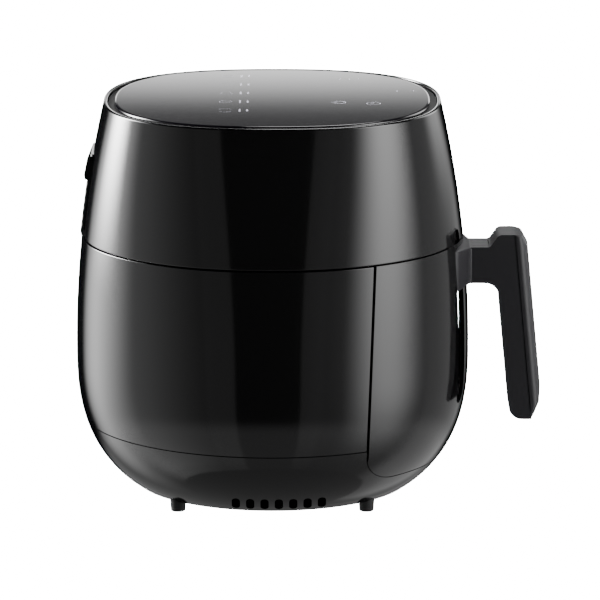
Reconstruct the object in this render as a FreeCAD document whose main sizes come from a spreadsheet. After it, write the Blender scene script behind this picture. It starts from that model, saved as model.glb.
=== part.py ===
import FreeCAD, Part
import os
import re

import Sketcher
from FreeCAD import Vector
from math import cos, pi, sin

# Air fryer with a pull-out drawer, in millimetres. +Z is up, the drawer and its handle face -Y,
# and the floor is at z = 0. Every piece is drawn about the body's own vertical axis, and its
# Placement then moves it by the same step, so that the origin is the middle of the footprint.

SIZES = {
    # outer form of the body
    "belly_radius": (145, "half the width of the body at its widest level"),
    "belly_level": (110, "height of the widest level"),
    "rim_radius": (123.5, "half the width at the top rim"),
    "rim_level": (294.5, "height of the top rim"),
    "rim_squareness": (2.45, "superellipse exponent of the rim; 2 is a circle"),
    "base_level": (8, "height of the flat underside"),
    "base_drop": (122.5, "depth below the belly at which the lower curve would close"),
    "base_bow": (2.6, "exponent of the lower curve, along its depth"),
    "base_root": (2.7, "exponent of the lower curve, across its width"),
    "wall": (2.6, "thickness of the outer shells"),
    "fit": (0.3, "clearance between a piece and the wall it lies against"),
    "hair": (0.1, "clearance between pieces that rest on each other"),
    # seams
    "seam_level": (194.5, "height of the seam between the two housings"),
    "seam_gap": (0.9, "open gap of that seam"),
    "cover_level": (57, "height of the seam between lower housing and base cover"),
    "front_cut_top": (73.6, "distance of the drawer front's side edge from the axis, at the seam"),
    "front_cut_low": (67.6, "the same at the lower edge"),
    "front_low": (31, "height of the drawer front's lower edge"),
    "front_corner": (20, "corner radius of the drawer front's lower corners"),
    "front_gap": (0.8, "open gap round the drawer front"),
    # top panel
    "glass_radius": (115.8, "half the width of the glass panel"),
    "glass_thickness": (3, "thickness of the glass panel"),
    "glass_bevel": (1.2, "bevel round the upper face of the glass"),
    "glass_rise": (0.5, "height of the glass above the rim"),
    "rim_wall": (2.9, "thickness of the outer wall at the rim"),
    "bezel_width": (16, "width of the ring that the glass lies on"),
    "bezel_thickness": (2.5, "thickness of that ring"),
    "ledge_width": (13, "width of the housing's ledge under the ring"),
    "ledge_thickness": (2.4, "thickness of the ledge"),
    "board_width": (150, "side of the touch board"),
    "board_thickness": (1.6, "thickness of every circuit board"),
    "frame_thickness": (2.5, "thickness of the frame that holds the touch board"),
    # recess behind the handle and the notch above it
    "recess_half": (49, "half the width of the recess"),
    "recess_low": (74.5, "height of the lower tip of the recess"),
    "recess_high": (191, "height of the top of the recess"),
    "recess_depth": (11, "depth of the recess below the outer form"),
    "slot_inner": ("=recess_half - 16", "half the width of the island between the two slots"),
    "tray_wall": (2, "thickness of the recess tray and of the notch liner"),
    "notch_high": (204, "height of the top of the two notches in the upper housing"),
    "notch_corner": (7, "corner radius of the notches"),
    "notch_depth": (9, "depth of the notches below the outer form"),
    # rear air outlet
    "outlet_half": (29, "half the width of the outlet cover"),
    "outlet_low": (196.5, "height of the outlet cover's lower edge"),
    "outlet_high": (257, "height of its upper edge"),
    "outlet_proud": (1.3, "height of the cover above the outer form"),
    "hood_proud": (3.7, "height of the hood above the outer form"),
    "hood_level": (241, "height of the hood's nose"),
    "louvre_count": (6, "number of outlet slots"),
    "louvre_height": (3.2, "height of one outlet slot"),
    "louvre_pitch": (6, "distance from one outlet slot to the next"),
    "duct_wall": (1.5, "wall of the exhaust duct"),
    # base
    "foot_spread": (69, "distance of each foot from the axis, in x and in y"),
    "foot_radius": (6.5, "radius of a foot at its top"),
    "foot_taper": (0.8, "radius lost towards the floor"),
    "stem_radius": (3, "radius of the stem that holds a foot"),
    "vent_count": (7, "slots in one group of base vents"),
    "vent_pitch": (10.4, "distance from one vent slot to the next"),
    "vent_width": (6, "width of a vent slot"),
    "vent_shift": (5, "how far the side groups of vents sit towards the front"),
    "vent_low": (10.5, "height of the vents' lower end"),
    "vent_high": (21, "height of the vents' upper end"),
    # drawer bay
    "bay_side_room": (34, "distance from the belly to the outside of the bay's side wall"),
    "bay_back_room": (38, "distance from the belly to the outside of the bay's back wall"),
    "bay_draft": (8, "how much the bay narrows to its floor, on each side"),
    "bay_corner": (72, "corner radius of the bay"),
    "bay_wall": (2, "wall of the bay"),
    "bay_floor": (36, "height of the underside of the bay"),
    "rail_height": (3.6, "height of the rails on the bay's floor"),
    "rail_width": (6, "width of a rail"),
    "rail_spacing": (52, "distance of each rail from the middle"),
    # pan and basket
    "pan_gap": (5.5, "clearance between pan and bay at the sides and the back"),
    "pan_wall": (1, "wall of the pan"),
    "pan_front": (104, "distance of the pan's front from the axis"),
    "pan_drop": (20, "distance of the pan's rim below the seam"),
    "rim_lip": (3, "width of the pan's and the basket's rim"),
    "basket_gap": (3, "clearance between basket and pan at the sides"),
    "basket_rise": (10, "distance of the basket's floor above the pan's"),
    "basket_wall": (0.9, "wall of the basket"),
    "hole_radius": (3, "radius of a hole in the basket's floor"),
    "hole_pitch": (15, "distance between those holes"),
    "strap_thickness": (1.2, "thickness of the strap that holds the basket"),
    "strap_width": (20, "width of that strap"),
    # liner of the drawer front
    "liner_front": (118, "distance of the drawer liner's front face from the axis"),
    "liner_thickness": (2.5, "thickness of the drawer liner"),
    # heating chamber, counted from the seam and from the rim
    "ceiling_thickness": (2.5, "thickness of the bay's ceiling"),
    "chamber_radius": (100, "inner radius of the heating chamber"),
    "chamber_wall": (1, "thickness of the chamber's sheet steel"),
    "chamber_drop": (16, "how far the chamber reaches below the seam"),
    "shield_radius": (112, "inner radius of the heat shield"),
    "guard_drop": (12, "distance of the guard grille below the seam"),
    "guard_wire": (1.1, "radius of the grille's wire"),
    "heater_radius": (3.25, "radius of the heating tube"),
    "heater_inner": (75, "radius of the heating element's innermost turn"),
    "heater_step": (4, "growth of the element's radius in each half turn"),
    "plate_drop": (48.5, "distance of the support plate's underside below the rim"),
    "plate_thickness": (1.5, "thickness of the support plate"),
    "fan_bay": (18, "height of the space for the cooling fan"),
    "hot_fan_gap": (6, "distance of the hot-air fan below the chamber's top"),
    "hot_fan_height": (16, "height of the hot-air fan"),
    "hot_fan_radius": (66, "radius of the hot-air fan"),
    "cool_fan_height": (11, "height of the cooling fan"),
    "cool_fan_radius": (58, "radius of the cooling fan"),
    "blade_thickness": (1, "thickness of a fan blade"),
    "hub_radius": (14, "radius of a fan's hub"),
    "shaft_radius": (3, "radius of the motor shaft"),
    "shaft_clearance": (0.05, "radial clearance of the shaft in the motor"),
    "motor_radius": (29, "radius of the motor"),
    "motor_height": (26, "height of the motor"),
    # handle
    "handle_half": (17, "half the width of the handle"),
    "shelf_level": (186, "height of the bracket's shelf"),
    "arm_low": (159, "height of the bracket's underside"),
    "step_reach": ("=belly_radius + 18", "distance of the step in the bracket from the axis"),
    "cap_level": (195.3, "height of the raised top of the handle"),
    "nose_reach": ("=belly_radius + 43.5", "distance of the handle's upper front corner from the axis"),
    "nose_level": (187, "height of that corner"),
    "flare_reach": ("=belly_radius + 1", "distance from the axis at which the bracket's root has narrowed to the arm"),
    "handle_reach": ("=belly_radius + 53.6", "distance of the foremost point of the handle from the axis"),
    "reach_level": (80, "height of that point"),
    "grip_depth": (25.3, "depth of the grip from front to back"),
    "grip_low": (56, "height of the lower end of the grip"),
    "front_depth": (9.8, "depth of the grip's front shell"),
    "handle_gap": (0.25, "seam between the grip and its front shell"),
    "flare_run": (12.5, "length over which the bracket's root narrows"),
    "grip_round": (10, "corner radius inside the grip"),
    "step_run": (6.5, "length of the step up from the shelf"),
    "step_top_round": (5, "corner radius at the top of the step"),
    "step_foot_round": (4, "corner radius at the foot of the step"),
    "grip_wall": (3, "wall round the hollow of the grip"),
    "pocket_end": (12, "distance of the grip's hollow from its ends"),
    "front_bow": (6.5, "how far the front shell bows ahead of its side edges"),
    "nose_run": (4.5, "length of the slope at the top of the front shell"),
    "nose_drop": (1.2, "fall of that slope before the nose"),
    "toe_run": (6.5, "length of the bevel at the lower end of the front shell"),
    "button_flange": (1, "width of the flange that holds the button"),
    "shelf_wall": (2.2, "thickness of the shelf over the latch"),
    "button_half": (9.5, "half the width of the release button"),
    "button_near": ("=belly_radius + 2.5", "distance of the button's rear edge from the axis"),
    "button_far": ("=belly_radius + 14", "distance of the button's front edge from the axis"),
    "button_travel": (3, "travel of the button"),
    "button_skirt": (5, "height of the button"),
    "pivot_reach": ("=belly_radius - 5", "distance of the latch's pivot from the axis"),
    "pivot_level": (170, "height of that pivot"),
    "pivot_radius": (1.5, "radius of the latch pin"),
    "pivot_clearance": (0.08, "radial clearance of the lever on its pin"),
    "lever_half": (3, "half the width of the latch lever"),
    "lever_arm": (14, "distance from the pivot to where the button presses"),
    "spring_radius": (2.2, "radius of a button spring"),
    "spring_wire": (0.35, "radius of its wire"),
    "spring_turns": (7, "turns of a button spring"),
    "gland_level": (75, "height of the cord gland"),
    "gland_radius": (6, "outer radius of the cord gland"),
    "gland_bore": (3.6, "radius of the hole for a cord"),
    "screw_radius": (1.7, "radius of every screw's shank"),
    "head_radius": (3.2, "radius of every screw's head"),
    "head_height": (2, "height of every screw's head"),
    "screw_clearance": (0.05, "radial clearance of a screw in its hole"),
}

doc = FreeCAD.newDocument("AirFryer")
sheet = doc.addObject("Spreadsheet::Sheet", "Sizes")
for line, (alias, (number, meaning)) in enumerate(SIZES.items(), 1):
    sheet.set(f"A{line}", meaning)
    sheet.set(f"B{line}", str(number))
    sheet.setAlias(f"B{line}", alias)
doc.recompute()

pieces = []


def tied(text):
    """An expression in the sheet's aliases, with the sheet's name put before each of them."""
    return re.sub(r"[a-z]+(_[a-z]+)*", lambda word: "Sizes." + word[0] if word[0] in SIZES else word[0], text)


def worth(text):
    """The number that such an expression gives now."""
    return float(sheet.evalExpression(tied(text)))


def keep(thing, label, x="0", y="0", z="0"):
    """Name a finished piece and tie its Placement, with the step that centres the footprint."""
    thing.Label = label
    thing.setExpression("Placement.Base.x", tied(x))
    thing.setExpression("Placement.Base.y", tied(f"{y} + (handle_reach - belly_radius) / 2"))
    thing.setExpression("Placement.Base.z", tied(z))
    pieces.append(thing)
    return thing


def keep_shape(shape, label):
    """Store a shape worked out below as a finished piece."""
    thing = doc.addObject("Part::Feature", label)
    thing.Shape = shape
    return keep(thing, label)


# Outer form --------------------------------------------------------------------------------------

def radius(z):
    """Half width at a height: a parabola above the belly, a superellipse below it."""
    belly, level = sheet.belly_radius, sheet.belly_level
    if z >= level:
        share = (z - level) / (sheet.rim_level - level)
        return belly - (belly - sheet.rim_radius) * share ** 2
    share = (level - z) / sheet.base_drop
    return belly * (1 - share ** sheet.base_bow) ** (1 / sheet.base_root)


def squareness(z):
    """Superellipse exponent at a height: 2 up to the belly, growing to the rim's value."""
    share = max(0, (z - sheet.belly_level) / (sheet.rim_level - sheet.belly_level))
    return 2 + (sheet.rim_squareness - 2) * share ** 2


def reach(z, angle, inset=0):
    """Distance of the outer form from the axis at a height and a compass angle."""
    power = squareness(z)
    return (radius(z) - inset) / (abs(cos(angle)) ** power + abs(sin(angle)) ** power) ** (1 / power)


def loop(z, inset=0, around=48):
    """Closed smooth outline of the outer form at a height."""
    spots = []
    for step in range(around):
        angle = 2 * pi * step / around
        far = reach(z, angle, inset)
        spots.append(Vector(far * cos(angle), far * sin(angle), z))
    curve = Part.BSplineCurve()
    curve.interpolate(Points=spots, PeriodicFlag=True)
    return Part.Wire([curve.toShape()])


def envelope(low, high, inset=0, layer=14):
    """Solid of the outer form between two heights, drawn in by an inset."""
    count = max(2, round((high - low) / layer))
    levels = [low + (high - low) * step / count for step in range(count + 1)]
    return Part.makeLoft([loop(z, inset) for z in levels], True, False)


def upright(wire, depth_from, depth_to):
    """Solid drawn along Y from an outline that lies at y = 0."""
    face = Part.Face(wire)
    face.translate(Vector(0, depth_from, 0))
    return face.extrude(Vector(0, depth_to - depth_from, 0))


def polygon(spots):
    """Closed wire through a list of points."""
    return Part.makePolygon(spots + spots[:1])


def rounded(spots, radii):
    """Closed wire through a list of points, with an arc of the given radius at each corner."""
    edges, exits = [], []
    count = len(spots)
    for i, size in enumerate(radii):
        here, before, after = spots[i], spots[i - 1], spots[(i + 1) % count]
        inward, outward = (before - here).normalize(), (after - here).normalize()
        if size <= 0:
            exits.append((here, here))
            continue
        half = inward.getAngle(outward) / 2
        away = size / abs(sin(half) / cos(half))
        start, end = here + inward * away, here + outward * away
        middle = here + (inward + outward).normalize() * (size / sin(half) - size)
        edges.append((i, Part.Arc(start, middle, end).toShape()))
        exits.append((start, end))
    arcs = dict(edges)
    chain = []
    for i in range(count):
        if i in arcs:
            chain.append(arcs[i])
        leave, arrive = exits[i][1], exits[(i + 1) % count][0]
        if leave.distanceToPoint(arrive) > 1e-6:
            chain.append(Part.LineSegment(leave, arrive).toShape())
    return Part.Wire(chain)


def block(x0, x1, y0, y1, z0, z1):
    """Box between two corners."""
    return Part.makeBox(x1 - x0, y1 - y0, z1 - z0, Vector(x0, y0, z0))


def window(half, low, high, corner, front, back):
    """Prism along Y through a rounded window."""
    spots = [Vector(-half, 0, low), Vector(half, 0, low), Vector(half, 0, high), Vector(-half, 0, high)]
    return upright(rounded(spots, [corner] * 4), front, back)


def front_block(shrink=0):
    """Everything in front of the drawer's side edges and above its lower edge."""
    far, side = 2 * sheet.belly_radius, 2 * sheet.belly_radius
    low, high = sheet.front_low + shrink, sheet.seam_level
    spots = [
        Vector(-side, -sheet.front_cut_top - shrink, high),
        Vector(-side, -sheet.front_cut_low - shrink, low),
        Vector(-side, -far, low),
        Vector(-side, -far, high),
    ]
    wire = rounded(spots, [0, sheet.front_corner - shrink, 0, 0])
    return Part.Face(wire).extrude(Vector(2 * side, 0, 0))


seam_over = sheet.seam_level + sheet.seam_gap / 2
seam_under = sheet.seam_level - sheet.seam_gap / 2
floor_top = sheet.base_level + sheet.wall
glass_under = sheet.rim_level + sheet.glass_rise - sheet.glass_thickness
bezel_under = glass_under - sheet.hair - sheet.bezel_thickness
ledge_top = bezel_under - sheet.hair
ledge_under = ledge_top - sheet.ledge_thickness
plate_under = sheet.rim_level - sheet.plate_drop
chamber_top = plate_under - sheet.fan_bay
ceiling_under = sheet.seam_level + 1
ceiling_top = ceiling_under + sheet.ceiling_thickness
rim_inside = sheet.rim_radius - sheet.rim_wall


def rim_solid(width, low, high):
    """Squircle disc with the rim's squareness and an upright edge."""
    flat = loop(sheet.rim_level, sheet.rim_radius - width)
    flat.translate(Vector(0, 0, low - sheet.rim_level))
    return Part.Face(flat).extrude(Vector(0, 0, high - low))


# Housings ----------------------------------------------------------------------------------------

def duct_box(grow):
    """Prism along Y in the size of the exhaust duct's inside, made larger by grow."""
    half = sheet.outlet_half - 6 + grow
    low, high = duct_low - grow, duct_high + grow
    return block(-half, half, sheet.chamber_radius / 2, 2 * sheet.belly_radius, low, high)


duct_low = max(sheet.outlet_low + 4, ceiling_top + sheet.duct_wall + sheet.chamber_wall + sheet.fit)
duct_high = min(sheet.hood_level - 5, plate_under - sheet.duct_wall - sheet.fit)


def notch_windows():
    """Prisms through the two pockets that carry the slots beside the handle on into the upper housing."""
    half = (sheet.recess_half - sheet.slot_inner) / 2
    pair = []
    for side in (-1, 1):
        one = window(half, sheet.seam_level - 20, sheet.notch_high, sheet.notch_corner, -2 * sheet.belly_radius, 0)
        one.translate(Vector(side * (sheet.slot_inner + half), 0, 0))
        pair.append(one)
    return Part.makeCompound(pair)


def upper_housing():
    """Shell with a collar and a ledge for the glass, a notch in front and a window for the exhaust."""
    outer = envelope(seam_over, sheet.rim_level)
    inner = envelope(seam_over - 2, sheet.rim_level + 2, sheet.wall)
    collar = envelope(ledge_under, sheet.rim_level, sheet.wall / 2)
    collar = collar.cut(rim_solid(rim_inside, ledge_top, sheet.rim_level + 1))
    collar = collar.cut(rim_solid(rim_inside - sheet.ledge_width, ledge_under - 1, ledge_top + 1))
    return outer.cut(inner).fuse(collar).cut(notch_windows()).cut(duct_box(0))


def lower_housing():
    """Shell between the seam and the base cover, open in front for the drawer."""
    low = sheet.cover_level + sheet.fit / 2
    outer = envelope(low, seam_under)
    inner = envelope(low - 2, seam_under + 2, sheet.wall)
    hole = Part.makeCylinder(sheet.gland_radius + sheet.hair, sheet.belly_radius,
                             Vector(0, sheet.belly_radius / 2, sheet.gland_level), Vector(0, 1, 0))
    return outer.cut(inner).cut(front_block()).cut(hole)


def vent_slots():
    """Four groups of slots that run up the lower curve, one on each side of the body."""
    slots = []
    half = sheet.vent_width / 2
    group = (sheet.vent_count - 1) / 2 * sheet.vent_pitch + half + sheet.vent_shift
    inside = ((radius(sheet.vent_low) - sheet.wall) ** 2 - group ** 2) ** 0.5 - 2
    for quarter, shift in enumerate((0, -sheet.vent_shift, 0, sheet.vent_shift)):
        for step in range(int(sheet.vent_count)):
            along = (step - (sheet.vent_count - 1) / 2) * sheet.vent_pitch + shift
            spots = [Vector(along - half, 0, sheet.vent_low), Vector(along + half, 0, sheet.vent_low),
                     Vector(along + half, 0, sheet.vent_high), Vector(along - half, 0, sheet.vent_high)]
            slot = upright(rounded(spots, [half * 0.95] * 4), -sheet.belly_radius, -inside)
            slot.rotate(Vector(0, 0, 0), Vector(0, 0, 1), 90 * quarter)
            slots.append(slot)
    return slots


def post_spots():
    """Places of the screw posts between the base cover and the bay."""
    return [(x * sheet.foot_spread * 0.8, y * sheet.foot_spread * 0.8) for x in (-1, 1) for y in (-1, 1)]


def post_top():
    return sheet.bay_floor - 5


def base_cover():
    """Bowl with vent slots, holes for the feet and posts for the screws."""
    high = sheet.cover_level - sheet.fit / 2
    outer = envelope(sheet.base_level, high, layer=5)
    inner = envelope(floor_top, high + 3, sheet.wall, layer=5)
    bowl = outer.cut(inner).cut(front_block())
    for x, y in post_spots():
        bowl = bowl.fuse(Part.makeCylinder(2 * sheet.head_radius, post_top() - floor_top + 1,
                                           Vector(x, y, floor_top - 1)))
    tools = vent_slots()
    for x, y in post_spots():
        tools.append(screw_hole(x, y, sheet.base_level, post_top() + 1))
    for x in (-1, 1):
        for y in (-1, 1):
            tools.append(Part.makeCylinder(sheet.stem_radius + sheet.hair, sheet.base_level + 2 * sheet.wall,
                                           Vector(x * sheet.foot_spread, y * sheet.foot_spread, 0)))
    return bowl.cut(Part.makeCompound(tools))


def screw_hole(x, y, low, high, sink=4):
    """Hole for a screw put in from below, with a sunk seat for its head."""
    shank = Part.makeCylinder(sheet.screw_radius + sheet.screw_clearance, high - low, Vector(x, y, low))
    seat = Part.makeCylinder(sheet.head_radius + sheet.fit, sink + 1, Vector(x, y, low - 1))
    return shank.fuse(seat)


def screw(x, y, z, length, turn=None):
    """Pan-head screw; its head's top is at z and its shank runs up from there."""
    head = Part.makeCylinder(sheet.head_radius, sheet.head_height, Vector(0, 0, 0))
    cross = Part.makeBox(0.8 * sheet.head_radius, 0.8, 1, Vector(-0.4 * sheet.head_radius, -0.4, 0))
    cross = cross.fuse(Part.makeBox(0.8, 0.8 * sheet.head_radius, 1, Vector(-0.4, -0.4 * sheet.head_radius, 0)))
    shank = Part.makeCylinder(sheet.screw_radius, length, Vector(0, 0, sheet.head_height - 0.5))
    whole = head.fuse(shank).cut(cross)
    if turn:
        whole.rotate(Vector(0, 0, 0), turn[0], turn[1])
    whole.translate(Vector(x, y, z))
    return whole


def tray(half, low, high, corner, depth, bottom, top):
    """Dark tray behind a window in the shell: a floor that follows the outer form, and side walls."""
    skin = envelope(bottom, top, sheet.wall + sheet.hair).cut(
        envelope(bottom - 1, top + 1, depth + sheet.tray_wall))
    edge = sheet.tray_wall
    skin = skin.common(window(half + edge, low - edge, high + edge, corner + edge, -2 * sheet.belly_radius, 0))
    hollow = window(half, low, high, corner, -2 * sheet.belly_radius, 0)
    hollow = hollow.cut(envelope(bottom - 2, top + 2, depth))
    return skin.cut(hollow)


def notch_liner():
    """Two dark pockets behind the notches in the upper housing, joined by a strip behind its wall."""
    bottom, top, edge = seam_over, sheet.notch_high + 10, sheet.tray_wall
    far, back = 2 * sheet.belly_radius, sheet.notch_depth
    skin = envelope(bottom, top, sheet.wall + sheet.hair).cut(envelope(bottom - 1, top + 1, back + edge))
    skin = skin.common(window(sheet.recess_half + edge, bottom - 20, sheet.notch_high + edge,
                              sheet.notch_corner + edge, -far, 0))
    hollow = notch_windows().cut(envelope(bottom - 2, top + 2, back))
    middle = sheet.slot_inner - edge
    room = block(-middle, middle, -far, 0, bottom - 1, top + 1)
    return skin.cut(hollow).cut(room.common(envelope(bottom - 2, top + 2, sheet.wall + sheet.hair + edge)))


def outlet_cover():
    """Cover over the exhaust window, with a hood above its louvres."""
    half, low, high = sheet.outlet_half, sheet.outlet_low, sheet.outlet_high
    skin = envelope(low - 2, high + 2, -sheet.outlet_proud).cut(envelope(low - 3, high + 3, -sheet.hair / 2))
    skin = skin.common(window(half, low, high, 6, 0, 2 * sheet.belly_radius))
    nose = sheet.hood_level
    back = radius(high) - 8
    spots = [Vector(-half, back, high - 1), Vector(-half, radius(high - 1) + sheet.outlet_proud, high - 1),
             Vector(-half, radius(nose) + sheet.hood_proud, nose + 2),
             Vector(-half, radius(nose) + sheet.hood_proud - 1, nose - 2),
             Vector(-half, back, nose - 2)]
    hood = Part.Face(rounded(spots, [0, 0, 4, 1, 0])).extrude(Vector(2 * half, 0, 0))
    hood = hood.common(window(half, low, high, 6, 0, 2 * sheet.belly_radius))
    hood = hood.cut(envelope(low - 3, high + 3, -sheet.hair / 2))
    cover = skin.fuse(hood)
    middle = (duct_low + duct_high) / 2
    for step in range(int(sheet.louvre_count)):
        level = middle + (step - (sheet.louvre_count - 1) / 2) * sheet.louvre_pitch
        cover = cover.cut(block(-half + 9, half - 9, 0, 2 * sheet.belly_radius,
                                level - sheet.louvre_height / 2, level + sheet.louvre_height / 2))
    return cover


def air_duct():
    """Square tube from the heat shield to the exhaust window."""
    tube = duct_box(sheet.duct_wall).cut(duct_box(0))
    tube = tube.common(envelope(duct_low - 4, duct_high + 4, sheet.wall + sheet.hair))
    middle = Part.makeCylinder(sheet.shield_radius + sheet.chamber_wall + sheet.hair, sheet.rim_level)
    return tube.cut(middle)


def cord_gland():
    """Bush in the back of the lower housing, flush outside, with a flange inside."""
    def rod(size, start, length):
        return Part.makeCylinder(size, length, Vector(0, start, sheet.gland_level), Vector(0, 1, 0))

    back = radius(sheet.gland_level)
    low, high = sheet.gland_level - 15, sheet.gland_level + 15
    inside = envelope(low, high, sheet.wall + sheet.hair)
    body = rod(sheet.gland_radius, back - 14, 20).common(envelope(low, high, sheet.fit))
    flange = rod(sheet.gland_radius + 3.5, back - 9, 15).common(inside)
    return body.fuse(flange).cut(rod(sheet.gland_bore, back - 20, 40))


# Drawer bay --------------------------------------------------------------------------------------

def bay_outline(level, inset, ahead=0):
    """U-shaped outline of the bay at a height: straight sides, round corners at the back."""
    low, high = sheet.bay_floor, ceiling_under - sheet.hair
    draft = sheet.bay_draft * (high - level) / (high - low)
    half = sheet.belly_radius - sheet.bay_side_room - draft - inset
    back = sheet.belly_radius - sheet.bay_back_room - draft - inset
    front = sheet.front_gap - sheet.front_cut_low - ahead
    corner = sheet.bay_corner - inset
    spots = [Vector(-half, front, level), Vector(half, front, level),
             Vector(half, back, level), Vector(-half, back, level)]
    return rounded(spots, [0, 0, corner, corner])


def drawer_bay():
    """Inner box that the drawer slides into, open above and in front."""
    low, high = sheet.bay_floor, ceiling_under - sheet.hair
    wall = sheet.bay_wall
    outer = Part.makeLoft([bay_outline(low, 0), bay_outline(high, 0)], True, True)
    inner = Part.makeLoft([bay_outline(low, wall, wall), bay_outline(high, wall, wall)], True, True)
    side = 2 * sheet.belly_radius
    bay = outer.cut(inner.cut(block(-side, side, -side, side, low - 1, low + wall)))
    bay = bay.common(envelope(low - 4, high + 4, sheet.wall + sheet.hair))
    for x, y in post_spots():
        boss = Part.makeCylinder(2 * sheet.head_radius, low - post_top() - sheet.hair + 0.5,
                                 Vector(x, y, post_top() + sheet.hair))
        bay = bay.fuse(boss)
    holes = [Part.makeCylinder(sheet.screw_radius + sheet.screw_clearance, 5.5, Vector(x, y, post_top()))
             for x, y in post_spots()]
    return bay.cut(Part.makeCompound(holes))


def bay_ceiling():
    """Ring plate that closes the bay above, with a round opening for the chamber."""
    plate = envelope(ceiling_under, ceiling_top, sheet.wall + sheet.hair)
    hole = Part.makeCylinder(sheet.chamber_radius + sheet.chamber_wall + sheet.hair, sheet.rim_level)
    side = sheet.recess_half + sheet.tray_wall + sheet.fit
    floor = radius(sheet.seam_level) - sheet.notch_depth - sheet.tray_wall
    front = (floor ** 2 - side ** 2) ** 0.5 - 2 * sheet.tray_wall
    return plate.cut(hole).cut(block(-side, side, -2 * sheet.belly_radius, -front, 0, sheet.rim_level))


# Drawer ------------------------------------------------------------------------------------------

def drawer_front():
    """Front panel: the part of the outer form in front of the opening, with two slots and the arm's window."""
    low, high = sheet.front_low, seam_under
    outer = envelope(low, high, layer=8)
    inner = envelope(low - 1, high + 1, sheet.wall, layer=8)
    panel = outer.cut(inner).common(front_block(sheet.front_gap))
    far = -2 * sheet.belly_radius
    opening = window(sheet.recess_half, sheet.recess_low, sheet.recess_high,
                     (sheet.recess_half - sheet.slot_inner) / 2 - 0.3, far, 0)
    island = block(-sheet.slot_inner, sheet.slot_inner, far - 1, 1, 0, sheet.arm_low - sheet.hair)
    return panel.cut(opening.cut(island))


def recess_tray():
    """Dark tray behind the slots of the drawer front, with an opening for the latch."""
    shape = tray(sheet.recess_half, sheet.recess_low, sheet.recess_high,
                 (sheet.recess_half - sheet.slot_inner) / 2, sheet.recess_depth,
                 sheet.recess_low - 8, seam_under - sheet.hair)
    return shape.cut(latch_passage()).cut(handle_holes())


def latch_passage():
    """Opening through which the latch reaches the basket's strap."""
    half = sheet.lever_half + 2
    return block(-half, half, -sheet.pivot_reach, 0, sheet.pivot_level - 15, sheet.pivot_level + 7)


def drawer_liner():
    """Flat plate that closes the drawer front behind."""
    low, high = sheet.front_low + sheet.front_gap + sheet.wall, seam_under - sheet.hair
    body = envelope(low, high, sheet.wall + sheet.hair, layer=8)
    side = sheet.belly_radius
    plate = body.common(block(-side, side, -sheet.liner_front, sheet.liner_thickness - sheet.liner_front,
                              low, high))
    return plate.cut(latch_passage()).cut(handle_holes())


def pan_outline(level, inset, lift=0):
    """Rounded outline of the pan at a height, drawn in by an inset."""
    low, high = pan_floor, pan_top
    share = (high - level) / (high - low)
    draft = sheet.bay_draft * share
    half = sheet.belly_radius - sheet.bay_side_room - sheet.bay_wall - sheet.pan_gap - draft - inset
    back = sheet.belly_radius - sheet.bay_back_room - sheet.bay_wall - sheet.pan_gap - draft - inset
    front = sheet.pan_front - draft - inset
    corner = sheet.bay_corner - sheet.pan_gap - inset
    spots = [Vector(-half, -front, level), Vector(half, -front, level),
             Vector(half, back, level), Vector(-half, back, level)]
    return rounded(spots, [corner] * 4)


pan_floor = sheet.bay_floor + sheet.bay_wall + sheet.rail_height + sheet.fit
pan_top = sheet.seam_level - sheet.pan_drop


def tub(low, high, inset, wall):
    """Open tub that follows the pan's outline, with a lip round its rim."""
    outer = Part.makeLoft([pan_outline(low, inset), pan_outline(high, inset)], True, True)
    inner = Part.makeLoft([pan_outline(low + wall, inset + wall), pan_outline(high, inset + wall)], True, True)
    lip = Part.Face(pan_outline(high, inset - sheet.rim_lip)).extrude(Vector(0, 0, -wall))
    mouth = Part.Face(pan_outline(high, inset + wall)).extrude(Vector(0, 0, -2 * wall))
    return outer.fuse(lip).cut(inner).cut(mouth)


def basket():
    """Tub with a grid of holes in its floor; its lip rests on the pan's."""
    low, high = pan_floor + sheet.basket_rise, pan_top + sheet.hair + sheet.basket_wall
    inset = sheet.pan_wall + sheet.basket_gap
    shape = tub(low, high, inset, sheet.basket_wall)
    middle = basket_middle()
    reach_x = sheet.belly_radius - sheet.bay_side_room - 3 * sheet.bay_draft
    holes = []
    rows = int(reach_x // sheet.hole_pitch)
    for row in range(-rows, rows + 1):
        for column in range(-rows, rows + 1):
            x = (column + 0.5 * (row % 2)) * sheet.hole_pitch
            y = row * sheet.hole_pitch * 0.866
            if (x / reach_x) ** 4 + (y / reach_x) ** 4 < 0.75:
                holes.append(Part.makeCylinder(sheet.hole_radius, 4, Vector(x, middle + y, low - 1)))
    return shape.cut(Part.makeCompound(holes))


def basket_middle():
    """Middle of the basket from front to back."""
    back = sheet.belly_radius - sheet.bay_back_room - sheet.bay_wall - sheet.pan_gap
    return (back - sheet.pan_front) / 2


def basket_strap():
    """Steel strap from the basket over both rims to the catch behind the drawer liner."""
    top = pan_top + 2 * sheet.hair + sheet.basket_wall
    half, thick = sheet.strap_width / 2, sheet.strap_thickness
    inside = sheet.pan_front - sheet.pan_wall - sheet.basket_gap - sheet.basket_wall - sheet.hair
    slope = sheet.bay_draft / (pan_top - pan_floor)
    drop = 34
    catch = sheet.liner_front - sheet.liner_thickness - 2
    inner_leg = [(inside, top), (inside - slope * drop, top - drop),
                 (inside - slope * drop - thick, top - drop), (inside - thick, top)]
    leg = Part.Face(polygon([Vector(-half, -u, z) for u, z in inner_leg])).extrude(Vector(2 * half, 0, 0))
    bridge = block(-half, half, -catch, thick - inside, top, top + thick)
    outer_leg = block(-half, half, -catch, thick - catch, sheet.pivot_level - 17, top + thick)
    slot = block(-sheet.lever_half - 2, sheet.lever_half + 2, -catch - 1, 2 * thick - catch,
                 sheet.pivot_level - 10, sheet.pivot_level + 4)
    return leg.fuse([bridge, outer_leg]).cut(slot)


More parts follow.
